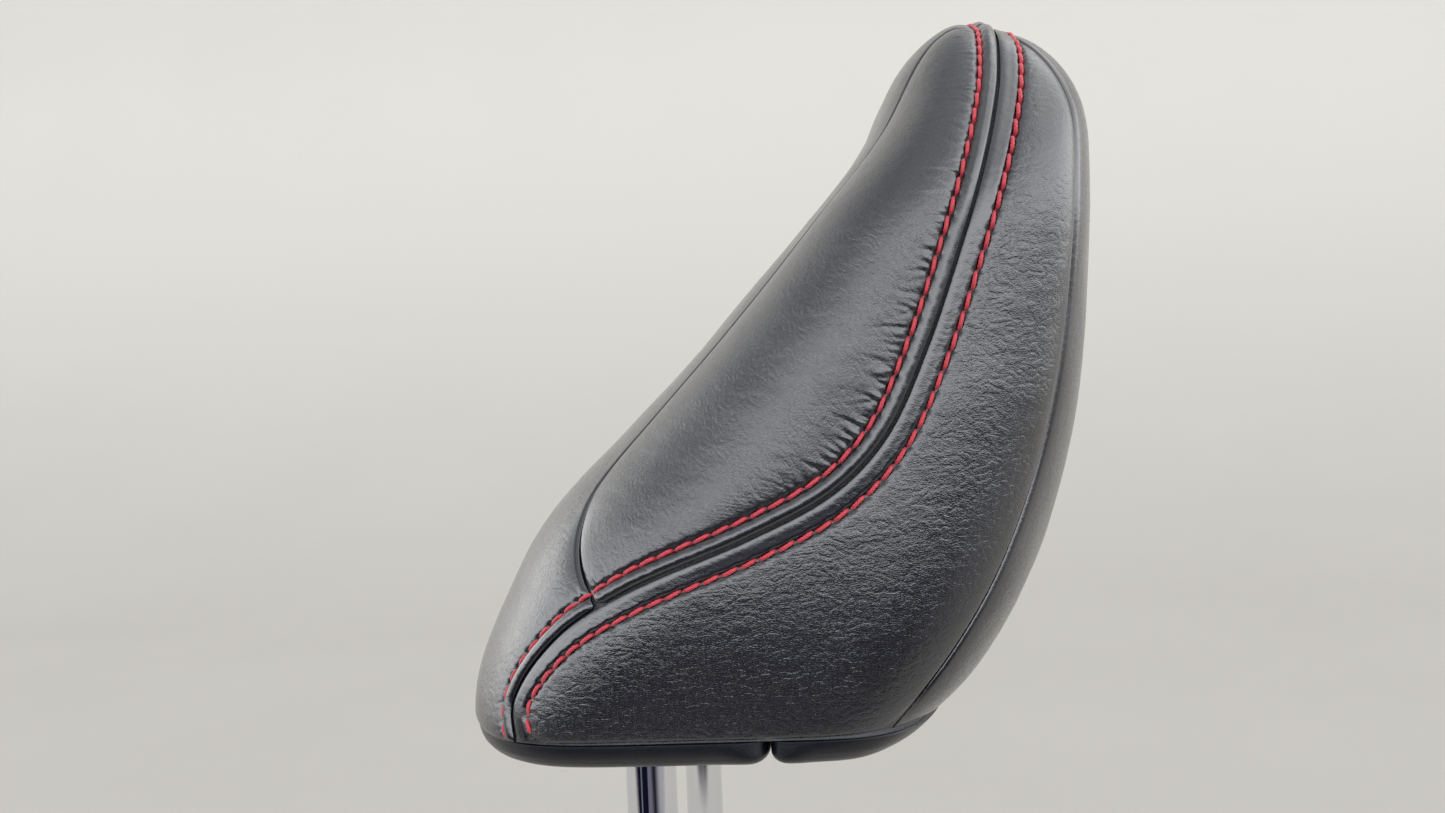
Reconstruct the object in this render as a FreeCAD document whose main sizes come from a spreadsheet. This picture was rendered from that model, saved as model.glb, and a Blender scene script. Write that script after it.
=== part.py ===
"""Head restraint of a sport seat: a leather covered head on a chromed U-shaped tube.

Millimetres. +Z is up, the side that the head leans on faces -Y, and X runs across.
The origin lies midway between the two posts, at the underside of the head.
"""

import FreeCAD, Part
import math
import os
import Sketcher

from FreeCAD import Placement, Rotation, Vector

SIZES = {
    # the head
    "head_width": 260,
    "head_top": 188.5,
    "flat_top_width": 140,
    "shoulder_height": 63.5,
    "crest_height": 36.5,
    "foot_tuck": 5,
    "tuck_height": 60,
    # the cover
    "cover_thickness": 3,
    "seam_gap": 0.8,
    "seam_depth": 1.6,
    "seam_roll": 9,
    "hem_height": 7,
    "soft_clearance": 0.3,
    "foam_clearance": 0.7,
    "rear_row_offset": 4.5,
    "front_row_offset": 5.5,
    "stitch_pitch": 4.9,
    "stitch_length": 3.9,
    "thread_diameter": 1.1,
    "thread_lift": 0.5,
    # the flaps under the head
    "flap_thickness": 6.4,
    "flap_inset": 1,
    "flap_round": 4.5,
    "notch_position": 34.5,
    "notch_width": 3,
    # the tube
    "post_diameter": 14,
    "post_wall": 2.2,
    "post_spacing": 150,
    "post_length": 170,
    "bend_height": 45,
    "bend_radius": 40,
    "lean_angle": 37,
    "corner_radius": 35,
    "crossbar_reach": 92,
    "vent_diameter": 4,
    "lock_first": 50,
    "lock_pitch": 20,
    "lock_width": 4,
    "lock_depth": 1.4,
    "snap_width": 2,
    "snap_depth": 0.6,
    # the collars
    "collar_flange": 24,
    "collar_lip": 1.5,
    "collar_barrel": 19,
    "collar_height": 12,
    "collar_clearance": 0.15,
    # the carrier
    "carrier_wall": 2.5,
    "carrier_back_depth": 10.5,
    "carrier_front_depth": 14,
    "carrier_margin": 5.5,
    "carrier_bottom": 14,
    "carrier_round": 30,
    "rib_thickness": 2.2,
    "rib_low": 26,
    "rib_high": 63,
    "seat_clearance": 0.15,
    "boss_diameter": 10,
    "boss_spacing": 64,
    "boss_low": 26,
    "boss_high": 72,
    # the carrier's screws
    "screw_diameter": 4,
    "screw_length": 20,
    "screw_head": 7.4,
    "screw_head_height": 2.4,
    "screw_sink": 3,
    "screw_clearance": 0.15,
    "screw_spare": 0.5,
    "screw_socket": 3,
    "screw_socket_depth": 1.44,
    # the closing profiles
    "closure_length": 190,
    "closure_wall": 1.6,
    "closure_lead": 1.2,
    "closure_height": 9.5,
    "closure_hook": 6.7,
    "closure_lip": 4.9,
    "closure_foot": 4.2,
    "closure_play": 0.6,
    # how far a cutting shape stands out past what it cuts
    "overshoot": 1,
}

LOCK_NOTCHES = 4

# The side outlines of the head: (height, distance behind the posts)
BACK_LINE = [(0, 57), (15, 54.5), (35, 45), (60, 29), (85, 3), (110, -22), (135, -45), (160, -65),
             (190, -65.5)]
FACE_LINE = [(0, -81), (15, -95.5), (35, -107.5), (60, -116.5), (85, -122), (110, -124.5), (135, -125.5),
             (160, -125), (190, -120.5)]

# How square the head's level sections are: exponents at the foot and above the blend height
BLEND_HEIGHT = 80
ACROSS_POWER = (2.0, 3.2)
BACK_POWER = (5.0, 2.75)
FACE_POWER = (7.0, 5.0)

# How far the head's middle sheet ends inside the widest line
CORE_INSET = 50

# The seams on the left side, from the foot up: (inset from the widest line, y, z)
S_SEAM = [(10, 29, 7), (12, 29, 18), (8, 16, 33.5), (3, -2, 44), (0, -33, 56), (0, -53, 66), (0, -66, 79),
          (0, -76, 99), (0, -84, 120), (2, -91, 141), (10, -96, 160), (18, -98, 171), (35, -99.5, 182.5),
          (60, -99, 187), (95, -97.5, 188.5), (130, -97, 188.5)]
BACK_SEAM = [(15, 11, 53), (22, 11, 60), (31, 8, 69), (37, -2, 81), (38, -26, 106), (38, -45, 128),
             (38, -62, 148), (39, -76, 167), (40, -86, 178)]
FACE_SEAM = [(8, -67, 7), (8, -82, 26), (11, -95, 49), (13, -105, 73), (12, -112, 104), (10, -115, 134),
             (13, -115, 153), (21, -110, 170), (31, -104, 180)]
JOIN_HEIGHT = 40
BACK_SEAM_TOP = 90
FACE_SEAM_TOP = 84

# Shares along the seams: where pointed panel ends stop, where the bolster's foot starts on its two
# seams, how much of the back panel's side lies below the join and where it goes on above it, and
# where the stitch rows start and how much of their seam they cover
PANEL_TIP = 0.975
BOLSTER_FOOT = (0.012, 0.045)
BELOW_JOIN, ABOVE_JOIN = 0.2, 0.03
ROW_START, ROW_COVER = 0.005, 0.985

# Points taken round the flaps and the foam, and where the foam's level and tilted rings lie
FLAP_POINTS = 24
FOAM_TURNS = 56
FOAM_RISES = (0, 0.04, 0.09, 0.16, 0.26, 0.4, 0.55, 0.7, 0.85, 1)
FOAM_TILTS = (14, 28, 42, 55, 68)

# Steps for directions and searches on the skin, and a direction that no outward one is parallel to
NEAR = 0.4
NEAR_SHARE = 0.004
HALVINGS = 40
SEARCH_STEPS = 600
ROW_STEPS = 160
OBLIQUE = Vector(0.1, 0.3, 1)

TINY = 1e-6
PLAY = "sizes.soft_clearance"

doc = FreeCAD.newDocument("head_restraint")
sheet = doc.addObject("Spreadsheet::Sheet", "sizes")
for row, (alias, value) in enumerate(SIZES.items(), 1):
    sheet.set(f"A{row}", str(value))
    sheet.setAlias(f"A{row}", alias)
doc.recompute()


def size(alias):
    return float(sheet.get(alias))


# Curves and the head's skin

def clamp(value, low, high):
    return max(low, min(high, value))


def between(points, place):
    """Value at a place on a smooth line through (place, value) points."""
    last = len(points) - 1
    place = clamp(place, points[0][0], points[last][0])
    k = max(i for i in range(last) if place >= points[i][0])

    def slope(i):
        before, after = points[max(i - 1, 0)], points[min(i + 1, last)]
        return (after[1] - before[1]) / (after[0] - before[0])

    step = points[k + 1][0] - points[k][0]
    u = (place - points[k][0]) / step
    rise = points[k + 1][1] - points[k][1]
    start, end = slope(k) * step - rise, rise - slope(k + 1) * step
    return points[k][1] + u * rise + u * (1 - u) * ((1 - u) * start + u * end)


class Skin:
    """The outer form of the head, as level sections that narrow towards the crest."""

    def __init__(self):
        self.half = size("head_width") / 2
        self.top = size("head_top")
        self.crest = self.top - size("crest_height")
        self.shoulder = self.top - size("shoulder_height")
        self.flat = size("flat_top_width") / 2

    def section(self, z):
        """Middle line, half depth, half width and the three powers at a height."""
        back, face = between(BACK_LINE, z), between(FACE_LINE, z)
        over = clamp((z - self.crest) / (self.top - self.crest), 0, 1)
        depth = (back - face) / 2 * math.sqrt(1 - over ** 2)
        out = clamp((z - self.shoulder) / (self.top - self.shoulder), 0, 1)
        width = self.flat + (self.half - self.flat) * math.sqrt(1 - out ** 2)
        width -= size("foot_tuck") * clamp(1 - z / size("tuck_height"), 0, 1) ** 2
        share = clamp(z / BLEND_HEIGHT, 0, 1)
        share = share * share * (3 - 2 * share)
        powers = [low + (high - low) * share for low, high in (ACROSS_POWER, BACK_POWER, FACE_POWER)]
        return (back + face) / 2, depth, width, powers

    def inside(self, point):
        if point.z >= self.top:
            return False
        middle, depth, width, (across, back, face) = self.section(point.z)
        power = back if point.y > middle else face
        return abs(point.x / width) ** across + abs((point.y - middle) / depth) ** power < 1

    def core(self, point):
        """The nearest place on the head's middle sheet, well inside the skin."""
        reach = self.half - CORE_INSET
        height = clamp(point.z, 0, self.crest)
        return Vector(clamp(point.x, -reach, reach), self.section(height)[0], height)

    def reach(self, start, way):
        """The skin's point on the line from a point inside the head."""
        inner, outer = 0.0, 1.0
        while self.inside(start + way * outer):
            inner, outer = outer, outer * 1.5
        for _ in range(HALVINGS):
            half = (inner + outer) / 2
            if self.inside(start + way * half):
                inner = half
            else:
                outer = half
        return start + way * outer

    def push(self, point):
        """The skin's point on the line from the core through the given point."""
        core = self.core(point)
        return self.reach(core, point - core)

    def normal(self, point):
        """Outward direction at a point of the skin, from its neighbours."""
        out = (point - self.core(point)).normalize()
        side = out.cross(OBLIQUE).normalize()
        rise = side.cross(out).normalize()
        along = self.push(point + side * NEAR) - self.push(point - side * NEAR)
        up = self.push(point + rise * NEAR) - self.push(point - rise * NEAR)
        normal = along.cross(up).normalize()
        return normal if normal.dot(out) > 0 else normal * -1


skin = Skin()


def seam_line(points):
    """A curve on the skin through points, as a function of 0 to 1."""
    marks = [0.0]
    for a, b in zip(points, points[1:]):
        marks.append(marks[-1] + (b - a).Length)
    parts = [[(m, getattr(p, axis)) for m, p in zip(marks, points)] for axis in "xyz"]

    def line(share):
        return skin.push(Vector(*(between(part, share * marks[-1]) for part in parts)))

    return line


def left_points(rows):
    return [Vector(inset - skin.half, y, z) for inset, y, z in rows]


def part_of(line, start, end):
    return lambda share: line(start + (end - start) * share)


def mirror(line):
    def other(share):
        point = line(share)
        return Vector(-point.x, point.y, point.z)
    return other


def beside(line, distance):
    """The curve at a distance from a seam: rearwards and inwards is plus."""
    def moved(share):
        point = line(share)
        tangent = (line(min(share + NEAR_SHARE, 1)) - line(max(share - NEAR_SHARE, 0))).normalize()
        return skin.push(point + skin.normal(point).cross(tangent) * distance)
    return moved


def first_share(line, test):
    shares = [i / SEARCH_STEPS for i in range(SEARCH_STEPS + 1)]
    return next(share for share in shares if test(line(share)))


half_s = left_points(S_SEAM)
s_seam = seam_line(half_s + [Vector(-p.x, p.y, p.z) for p in reversed(half_s[:-1])])
join_share = first_share(s_seam, lambda p: p.z > JOIN_HEIGHT)
back_share = first_share(s_seam, lambda p: p.x > -BACK_SEAM_TOP and p.z > JOIN_HEIGHT)
face_share = first_share(s_seam, lambda p: p.x > -FACE_SEAM_TOP and p.z > JOIN_HEIGHT)
back_seam = seam_line([s_seam(join_share)] + left_points(BACK_SEAM) + [s_seam(back_share)])
face_seam = seam_line(left_points(FACE_SEAM) + [s_seam(face_share)])


# Document helpers

def feature(label, shape):
    item = doc.addObject("Part::Feature", label)
    item.Label = label
    item.Shape = shape
    return item


def primitive(kind, label, place, **expressions):
    item = doc.addObject(f"Part::{kind}", label)
    item.Label = label
    for name, expression in expressions.items():
        item.setExpression(name, expression)
    for axis, expression in zip("xyz", place):
        item.setExpression(f"Placement.Base.{axis}", expression)
    return item


def joined(label, items):
    item = doc.addObject("Part::MultiFuse", label)
    item.Label = label
    item.Shapes = items
    return item


def cut(label, base, tool):
    item = doc.addObject("Part::Cut", label)
    item.Label = label
    item.Base, item.Tool = base, tool
    return item


def mirrored(label, source):
    item = doc.addObject("Part::Mirroring", label)
    item.Label = label
    item.Source = source
    item.Normal = Vector(1, 0, 0)
    return item


def new_body(label):
    body = doc.addObject("PartDesign::Body", label)
    body.Label = label
    return body


def new_sketch(body, name, plane, lift="0"):
    sketch = body.newObject("Sketcher::SketchObject", name)
    role = next(o for o in body.Origin.OriginFeatures if o.Role == plane)
    sketch.AttachmentSupport = (role, [""])
    sketch.MapMode = "FlatFace"
    sketch.setExpression("AttachmentOffset.Base.z", lift)
    return sketch


def add_rectangle(sketch, left, right, low, high):
    """A rectangle between four expressions, measured from the sketch's origin."""
    x0, x1, y0, y1 = (float(sketch.evalExpression(e)) for e in (left, right, low, high))
    corners = [Vector(x0, y0, 0), Vector(x1, y0, 0), Vector(x1, y1, 0), Vector(x0, y1, 0)]
    first = sketch.GeometryCount
    for a, b in zip(corners, corners[1:] + corners[:1]):
        sketch.addGeometry(Part.LineSegment(a, b))
    for k in range(4):
        sketch.addConstraint(Sketcher.Constraint("Coincident", first + k, 2, first + (k + 1) % 4, 1))
        kind = "Vertical" if k % 2 else "Horizontal"
        sketch.addConstraint(Sketcher.Constraint(kind, first + k))
    for way, line, expression, start in (("DistanceX", 0, left, x0), ("DistanceY", 0, low, y0),
                                         ("DistanceX", 2, right, x1), ("DistanceY", 2, high, y1)):
        pin = sketch.addConstraint(Sketcher.Constraint(way, -1, 1, first + line, 1, start))
        sketch.setExpression(f"Constraints[{pin}]", expression)


def add_circle(sketch, x, y, radius):
    """A circle from three expressions, measured from the sketch's origin."""
    x0, y0, r0 = (float(sketch.evalExpression(e)) for e in (x, y, radius))
    line = sketch.addGeometry(Part.Circle(Vector(x0, y0, 0), Vector(0, 0, 1), r0))
    for constraint, expression in ((Sketcher.Constraint("DistanceX", -1, 1, line, 3, x0), x),
                                   (Sketcher.Constraint("DistanceY", -1, 1, line, 3, y0), y),
                                   (Sketcher.Constraint("Radius", line, r0), radius)):
        pin = sketch.addConstraint(constraint)
        sketch.setExpression(f"Constraints[{pin}]", expression)


def add_outline(sketch, corners):
    """A closed outline through corners that are pairs of expressions."""
    places = [[float(sketch.evalExpression(e)) for e in corner] for corner in corners]
    first = sketch.GeometryCount
    count = len(corners)
    for k in range(count):
        a, b = places[k], places[(k + 1) % count]
        sketch.addGeometry(Part.LineSegment(Vector(*a, 0), Vector(*b, 0)))
    for k, (corner, place) in enumerate(zip(corners, places)):
        sketch.addConstraint(Sketcher.Constraint("Coincident", first + k, 1, first + (k - 1) % count, 2))
        for way, expression, start in zip(("DistanceX", "DistanceY"), corner, place):
            pin = sketch.addConstraint(Sketcher.Constraint(way, -1, 1, first + k, 1, start))
            sketch.setExpression(f"Constraints[{pin}]", expression)


def pad(body, name, sketch, length, reverse=False, symmetric=False):
    item = body.newObject("PartDesign::Pad", name)
    item.Profile = sketch
    item.setExpression("Length", length)
    item.Reversed = reverse
    if symmetric:
        item.SideType = "Symmetric"
    return item


def pocket(body, name, sketch, length, reverse=False):
    item = body.newObject("PartDesign::Pocket", name)
    item.Profile = sketch
    item.setExpression("Length", length)
    item.Reversed = reverse
    return item


# The leather cover

def surface(grid):
    item = Part.BSplineSurface()
    item.interpolate(grid)
    return item.toShape()


def closed_solid(faces):
    shell = Part.makeShell(faces)
    shell.sewShape()
    solid = Part.makeSolid(shell)
    if solid.Volume < 0:
        solid.reverse()
    return solid


def seam_drop(distance):
    """How far the leather is drawn in at a distance from its seam."""
    return size("seam_depth") * (1 - min(distance / size("seam_roll"), 1)) ** 2


def straight(start, end):
    return lambda share: skin.push(start + (end - start) * share)


def run_to(line, start, end):
    """A line whose two ends are moved onto given corners."""
    first, last = start - line(0), end - line(1)
    return lambda share: line(share) + first * (1 - share) + last * share


def cover_panel(label, left, right, foot=None, head=None, across=12, along=18):
    """A leather panel between two side curves that run upwards and two end curves."""
    corners = [left(0), right(0), left(1), right(1)]
    foot = run_to(foot, *corners[:2]) if foot else straight(*corners[:2])
    head = run_to(head, *corners[2:]) if head else straight(*corners[2:])
    shares = [[(1 - math.cos(math.pi * i / n)) / 2 for i in range(n + 1)] for n in (across, along)]

    def place(s, u):
        ruled = foot(s) * (1 - u) + head(s) * u + left(u) * (1 - s) + right(u) * s
        twist = (corners[0] * ((1 - s) * (1 - u)) + corners[1] * (s * (1 - u))
                 + corners[2] * ((1 - s) * u) + corners[3] * (s * u))
        return skin.push(ruled - twist)

    points = [[place(s, u) for u in shares[1]] for s in shares[0]]
    outer, inner = [], []
    for i, column in enumerate(points):
        outer.append([])
        inner.append([])
        for j, point in enumerate(column):
            edges = (points[0][j], points[-1][j], column[0], column[-1])
            distance = min((point - edge).Length for edge in edges)
            normal = skin.normal(point)
            outer[i].append(point - normal * seam_drop(distance))
            inner[i].append(point - normal * size("cover_thickness"))
    faces = [surface(outer), surface(inner)]
    rims = [Part.makeRuledSurface(a, b) for a, b in zip(faces[0].Edges, faces[1].Edges)]
    return feature(label, closed_solid(faces + rims))


def make_cover():
    gap = size("seam_gap") / 2
    rear_s, front_s = beside(s_seam, gap), beside(s_seam, -gap)
    side = cover_panel("cover_side_left", part_of(front_s, 0, face_share * PANEL_TIP),
                       part_of(beside(face_seam, gap), 0, PANEL_TIP))
    foot, tip = join_share + BOLSTER_FOOT[0], join_share + (back_share - join_share) * PANEL_TIP
    bolster = cover_panel("cover_bolster_left", part_of(rear_s, foot, tip),
                          part_of(beside(back_seam, -gap), BOLSTER_FOOT[1], PANEL_TIP))
    lower, upper = part_of(rear_s, 0, join_share), part_of(beside(back_seam, gap), ABOVE_JOIN, 1)

    def back_edge(share):
        if share < BELOW_JOIN:
            return lower(share / BELOW_JOIN)
        return upper((share - BELOW_JOIN) / (1 - BELOW_JOIN))

    back = cover_panel("cover_back", back_edge, mirror(back_edge), across=16, along=26,
                       head=part_of(rear_s, back_share, 1 - back_share))
    face_edge = beside(face_seam, -gap)
    face = cover_panel("cover_front", face_edge, mirror(face_edge), across=16,
                       head=part_of(front_s, face_share, 1 - face_share))
    return [side, mirrored("cover_side_right", side), bolster,
            mirrored("cover_bolster_right", bolster), back, face]


def stitch_row(label, line, raised):
    """Short lengths of thread at the stitch pitch along a curve."""
    points = [line(k / ROW_STEPS) for k in range(ROW_STEPS + 1)]
    marks = [0.0]
    for a, b in zip(points, points[1:]):
        marks.append(marks[-1] + (b - a).Length)
    parts = [[(m, getattr(p, axis)) for m, p in zip(marks, points)] for axis in "xyz"]
    pitch, length = size("stitch_pitch"), size("stitch_length")
    count = int(marks[-1] / pitch)
    spare = (marks[-1] - count * pitch + pitch - length) / 2
    stitches = []
    for k in range(count):
        ends = []
        for mark in (spare + k * pitch, spare + k * pitch + length):
            point = Vector(*(between(part, mark) for part in parts))
            ends.append(point + skin.normal(point) * raised)
        way = ends[1] - ends[0]
        stitches.append(Part.makeCylinder(size("thread_diameter") / 2, way.Length, ends[0], way))
    return feature(label, Part.makeCompound(stitches))


def make_stitches():
    lift = size("thread_diameter") / 2 + size("thread_lift")
    rows = []
    for name, side, end in (("rear", 1, back_share), ("front", -1, face_share)):
        offset = size(f"{name}_row_offset")
        line = beside(s_seam, side * offset)
        raised = lift - seam_drop(offset)
        left = stitch_row(f"stitch_{name}_left", part_of(line, ROW_START, end * ROW_COVER), raised)
        rows += [left, mirrored(f"stitch_{name}_right", left),
                 stitch_row(f"stitch_{name}_top", part_of(line, end, 1 - end), raised)]
    return rows


# The tube

def rounded_path(points, radii):
    """Straight runs joined by tangent arcs."""
    edges, start = [], points[0]
    for before, corner, after, radius in zip(points, points[1:], points[2:], radii):
        one, two = (corner - before).normalize(), (after - corner).normalize()
        turn = one.getAngle(two)
        reach = radius * math.tan(turn / 2)
        begin, end = corner - one * reach, corner + two * reach
        middle = corner + (two - one).normalize() * (radius / math.cos(turn / 2) - radius)
        edges += [Part.makeLine(start, begin), Part.Arc(begin, middle, end).toShape()]
        start = end
    return Part.Wire(edges + [Part.makeLine(start, points[-1])])


def bent_tube(radius, low):
    """A solid bar along the whole bent tube, from a height under the head."""
    lean = math.radians(size("lean_angle"))
    half = size("post_spacing") / 2
    bend = Vector(-half, 0, size("bend_height"))
    corner = bend + Vector(0, -math.sin(lean), math.cos(lean)) * size("crossbar_reach")
    left = [Vector(-half, 0, low), bend, corner]
    points = left + [Vector(-p.x, p.y, p.z) for p in reversed(left)]
    radii = [size(name) for name in ("bend_radius", "corner_radius", "corner_radius", "bend_radius")]
    circle = Part.Wire(Part.makeCircle(radius, left[0], Vector(0, 0, 1)))
    return rounded_path(points, radii).makePipe(Part.Face(circle))


def post_ends(kind, label, low, **expressions):
    """One primitive on the axis of each post."""
    sides = (("left", "-sizes.post_spacing / 2"), ("right", "sizes.post_spacing / 2"))
    return [primitive(kind, f"{label}_{side}", (x, "0", low), **expressions) for side, x in sides]


def make_post_frame():
    radius = size("post_diameter") / 2
    low = radius - size("post_length")
    bar = feature("bar", bent_tube(radius, low))
    domes = post_ends("Sphere", "dome", "sizes.post_diameter / 2 - sizes.post_length",
                      Radius="sizes.post_diameter / 2")
    bore = feature("bore", bent_tube(radius - size("post_wall"), low))
    vents = post_ends("Cylinder", "vent", "-sizes.post_length - sizes.overshoot",
                      Radius="sizes.vent_diameter / 2", Height="sizes.post_diameter")
    rings = post_ends("Cylinder", "ring", "0", Radius="sizes.post_diameter", Height="sizes.snap_width")
    necks = post_ends("Cylinder", "neck", "0", Height="sizes.snap_width",
                      Radius="sizes.post_diameter / 2 - sizes.snap_depth")
    grooves = [cut(f"groove_{k}", ring, neck) for k, (ring, neck) in enumerate(zip(rings, necks))]
    locks = [primitive("Box", f"lock_{k}",
                       ("-sizes.post_spacing / 2 + sizes.post_diameter / 2 - sizes.lock_depth",
                        "-sizes.post_diameter / 2",
                        f"-sizes.lock_first - {k} * sizes.lock_pitch - sizes.lock_width / 2"),
                       Length="sizes.post_diameter", Width="sizes.post_diameter", Height="sizes.lock_width")
             for k in range(LOCK_NOTCHES)]
    return cut("post_frame", joined("bar_with_domes", [bar] + domes),
               joined("tube_cuts", [bore] + vents + grooves + locks))


def make_collar():
    """A plastic collar that snaps on the post and lines the flap's hole."""
    body = new_body("collar_left")
    sketch = new_sketch(body, "collar_profile", "XZ_Plane")
    bore = "sizes.post_diameter / 2 + sizes.collar_clearance"
    neck = "sizes.post_diameter / 2 - sizes.snap_depth + sizes.collar_clearance"
    lip_top = "sizes.snap_width - sizes.collar_clearance"
    barrel, flange = "sizes.collar_barrel / 2", "sizes.collar_flange / 2"
    foot, shelf = "sizes.collar_clearance", "sizes.collar_clearance + sizes.collar_lip"
    add_outline(sketch, [(neck, foot), (flange, foot), (flange, shelf), (barrel, shelf),
                         (barrel, "sizes.collar_height"), (bore, "sizes.collar_height"),
                         (bore, lip_top), (neck, lip_top)])
    turn = body.newObject("PartDesign::Revolution", "collar_turn")
    turn.Profile = sketch
    turn.ReferenceAxis = (sketch, ["V_Axis"])
    turn.Angle = 360
    body.setExpression("Placement.Base.x", "-sizes.post_spacing / 2")
    return [body, mirrored("collar_right", body)]


# The carrier that holds the foam on the tube

def lean(item):
    """Put an item, drawn upright round the bend, along the leaning part of the tube."""
    turn = Rotation(Vector(1, 0, 0), size("lean_angle"))
    item.Placement = Placement(Vector(0, 0, size("bend_height")), turn)
    item.setExpression("Placement.Base.z", "sizes.bend_height")
    item.setExpression("Placement.Rotation.Angle", "sizes.lean_angle")
    return item


CARRIER_HALF = "sizes.post_spacing / 2 + sizes.post_diameter / 2 + sizes.carrier_margin"
CARRIER_TOP = "sizes.crossbar_reach + sizes.post_diameter / 2 + sizes.carrier_margin"
BOSS_PLACES = [(f"{side} * sizes.boss_spacing / 2", height)
               for side in (-1, 1) for height in ("sizes.boss_low", "sizes.boss_high")]


def round_top(body, name, block):
    """Round a block's two top corners as the tube's corners are."""
    doc.recompute()
    top = block.Shape.BoundBox.ZMax
    item = body.newObject("PartDesign::Fillet", name)
    item.Base = (block, [f"Edge{k}" for k, edge in enumerate(block.Shape.Edges, 1)
                         if abs(edge.tangentAt(edge.FirstParameter).y) > 0.9
                         and edge.CenterOfMass.z > top - TINY])
    item.setExpression("Radius", "sizes.carrier_round")
    doc.recompute()
    return item


def make_shell(label, depth, rearwards):
    """One half of the carrier: a ribbed tray, open towards the tube's middle plane."""
    body = new_body(f"{label}_blank")
    sketch = new_sketch(body, f"{label}_outline", "XZ_Plane")
    add_rectangle(sketch, f"-({CARRIER_HALF})", CARRIER_HALF, "sizes.carrier_bottom", CARRIER_TOP)
    block = pad(body, f"{label}_block", sketch, depth, reverse=rearwards)
    crown = round_top(body, f"{label}_corners", block)
    tray = body.newObject("PartDesign::Thickness", f"{label}_tray")
    open_face = next(f"Face{k}" for k, face in enumerate(crown.Shape.Faces, 1)
                     if abs(face.CenterOfMass.y) < TINY)
    tray.Base = (crown, [open_face])
    tray.setExpression("Value", "sizes.carrier_wall")
    tray.Reversed = True
    ribs = new_sketch(body, f"{label}_rib_lines", "XZ_Plane")
    inner = f"{CARRIER_HALF} - sizes.carrier_wall / 2"
    for height in ("sizes.rib_low", "sizes.rib_high"):
        add_rectangle(ribs, f"-({inner})", inner, f"{height} - sizes.rib_thickness / 2",
                      f"{height} + sizes.rib_thickness / 2")
    pad(body, f"{label}_ribs", ribs, f"{depth} - sizes.carrier_wall / 2", reverse=rearwards)
    posts = new_sketch(body, f"{label}_upright_lines", "XZ_Plane")
    for side in (-1, 0, 1):
        add_rectangle(posts, f"{side} * sizes.boss_spacing / 2 - sizes.rib_thickness / 2",
                      f"{side} * sizes.boss_spacing / 2 + sizes.rib_thickness / 2",
                      "sizes.carrier_bottom + sizes.carrier_wall / 2",
                      f"{CARRIER_TOP} - sizes.carrier_wall / 2")
    pad(body, f"{label}_uprights", posts, f"{depth} - sizes.carrier_wall / 2", reverse=rearwards)
    bosses = new_sketch(body, f"{label}_boss_circles", "XZ_Plane")
    for x, z in BOSS_PLACES:
        add_circle(bosses, x, z, "sizes.boss_diameter / 2")
    pad(body, f"{label}_bosses", bosses, f"{depth} - sizes.carrier_wall / 2", reverse=rearwards)
    holes = new_sketch(body, f"{label}_screw_holes", "XZ_Plane")
    for x, z in BOSS_PLACES:
        add_circle(holes, x, z, "sizes.screw_diameter / 2 + sizes.screw_clearance")
    reach = depth
    if not rearwards:
        reach = "sizes.screw_length - sizes.carrier_back_depth + sizes.screw_sink + sizes.screw_spare"
    pocket(body, f"{label}_holes", holes, reach, reverse=not rearwards)
    if rearwards:
        sinks = new_sketch(body, f"{label}_sink_circles", "XZ_Plane",
                           "-sizes.carrier_back_depth + sizes.screw_sink")
        for x, z in BOSS_PLACES:
            add_circle(sinks, x, z, "sizes.screw_head / 2 + sizes.screw_clearance")
        pocket(body, f"{label}_sinks", sinks, "sizes.screw_sink + sizes.overshoot")
    doc.recompute()
    return body


def upright_tube(radius):
    """The leaning part of the tube, drawn upright in the carrier's own frame."""
    half, reach = size("post_spacing") / 2, size("crossbar_reach")
    points = [Vector(-half, 0, 0), Vector(-half, 0, reach), Vector(half, 0, reach), Vector(half, 0, 0)]
    circle = Part.Wire(Part.makeCircle(radius, points[0], Vector(0, 0, 1)))
    return rounded_path(points, [size("corner_radius")] * 2).makePipe(Part.Face(circle))


def make_carrier():
    seat = feature("tube_seat", upright_tube(size("post_diameter") / 2 + size("seat_clearance")))
    rear = make_shell("carrier_rear", "sizes.carrier_back_depth", True)
    front = make_shell("carrier_front", "sizes.carrier_front_depth", False)
    return [lean(cut("carrier_rear", rear, seat)), lean(cut("carrier_front", front, seat))]


def make_screws():
    """The screws pass through the rear shell into the front shell's bosses."""
    tilt = math.radians(size("lean_angle"))
    seat = size("carrier_back_depth") - size("screw_sink")
    screws = []
    for k, (x, z) in enumerate(BOSS_PLACES, 1):
        body = new_body(f"carrier_screw_{k}")
        head = new_sketch(body, f"screw_{k}_head_circle", "XZ_Plane")
        add_circle(head, "0", "0", "sizes.screw_head / 2")
        pad(body, f"screw_{k}_head", head, "sizes.screw_head_height", reverse=True)
        shank = new_sketch(body, f"screw_{k}_shank_circle", "XZ_Plane")
        add_circle(shank, "0", "0", "sizes.screw_diameter / 2")
        pad(body, f"screw_{k}_shank", shank, "sizes.screw_length")
        socket = new_sketch(body, f"screw_{k}_socket_outline", "XZ_Plane", "-sizes.screw_head_height")
        add_rectangle(socket, "-sizes.screw_socket / 2", "sizes.screw_socket / 2",
                      "-sizes.screw_socket / 2", "sizes.screw_socket / 2")
        pocket(body, f"screw_{k}_socket", socket, "sizes.screw_socket_depth", reverse=True)
        x_place, z_place = (float(sheet.evalExpression(e)) for e in (x, z))
        base = Vector(x_place, seat * math.cos(tilt) - z_place * math.sin(tilt),
                      size("bend_height") + seat * math.sin(tilt) + z_place * math.cos(tilt))
        body.Placement = Placement(base, Rotation(Vector(1, 0, 0), size("lean_angle")))
        screws.append(body)
    return screws


# The flaps and their closing profiles

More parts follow.
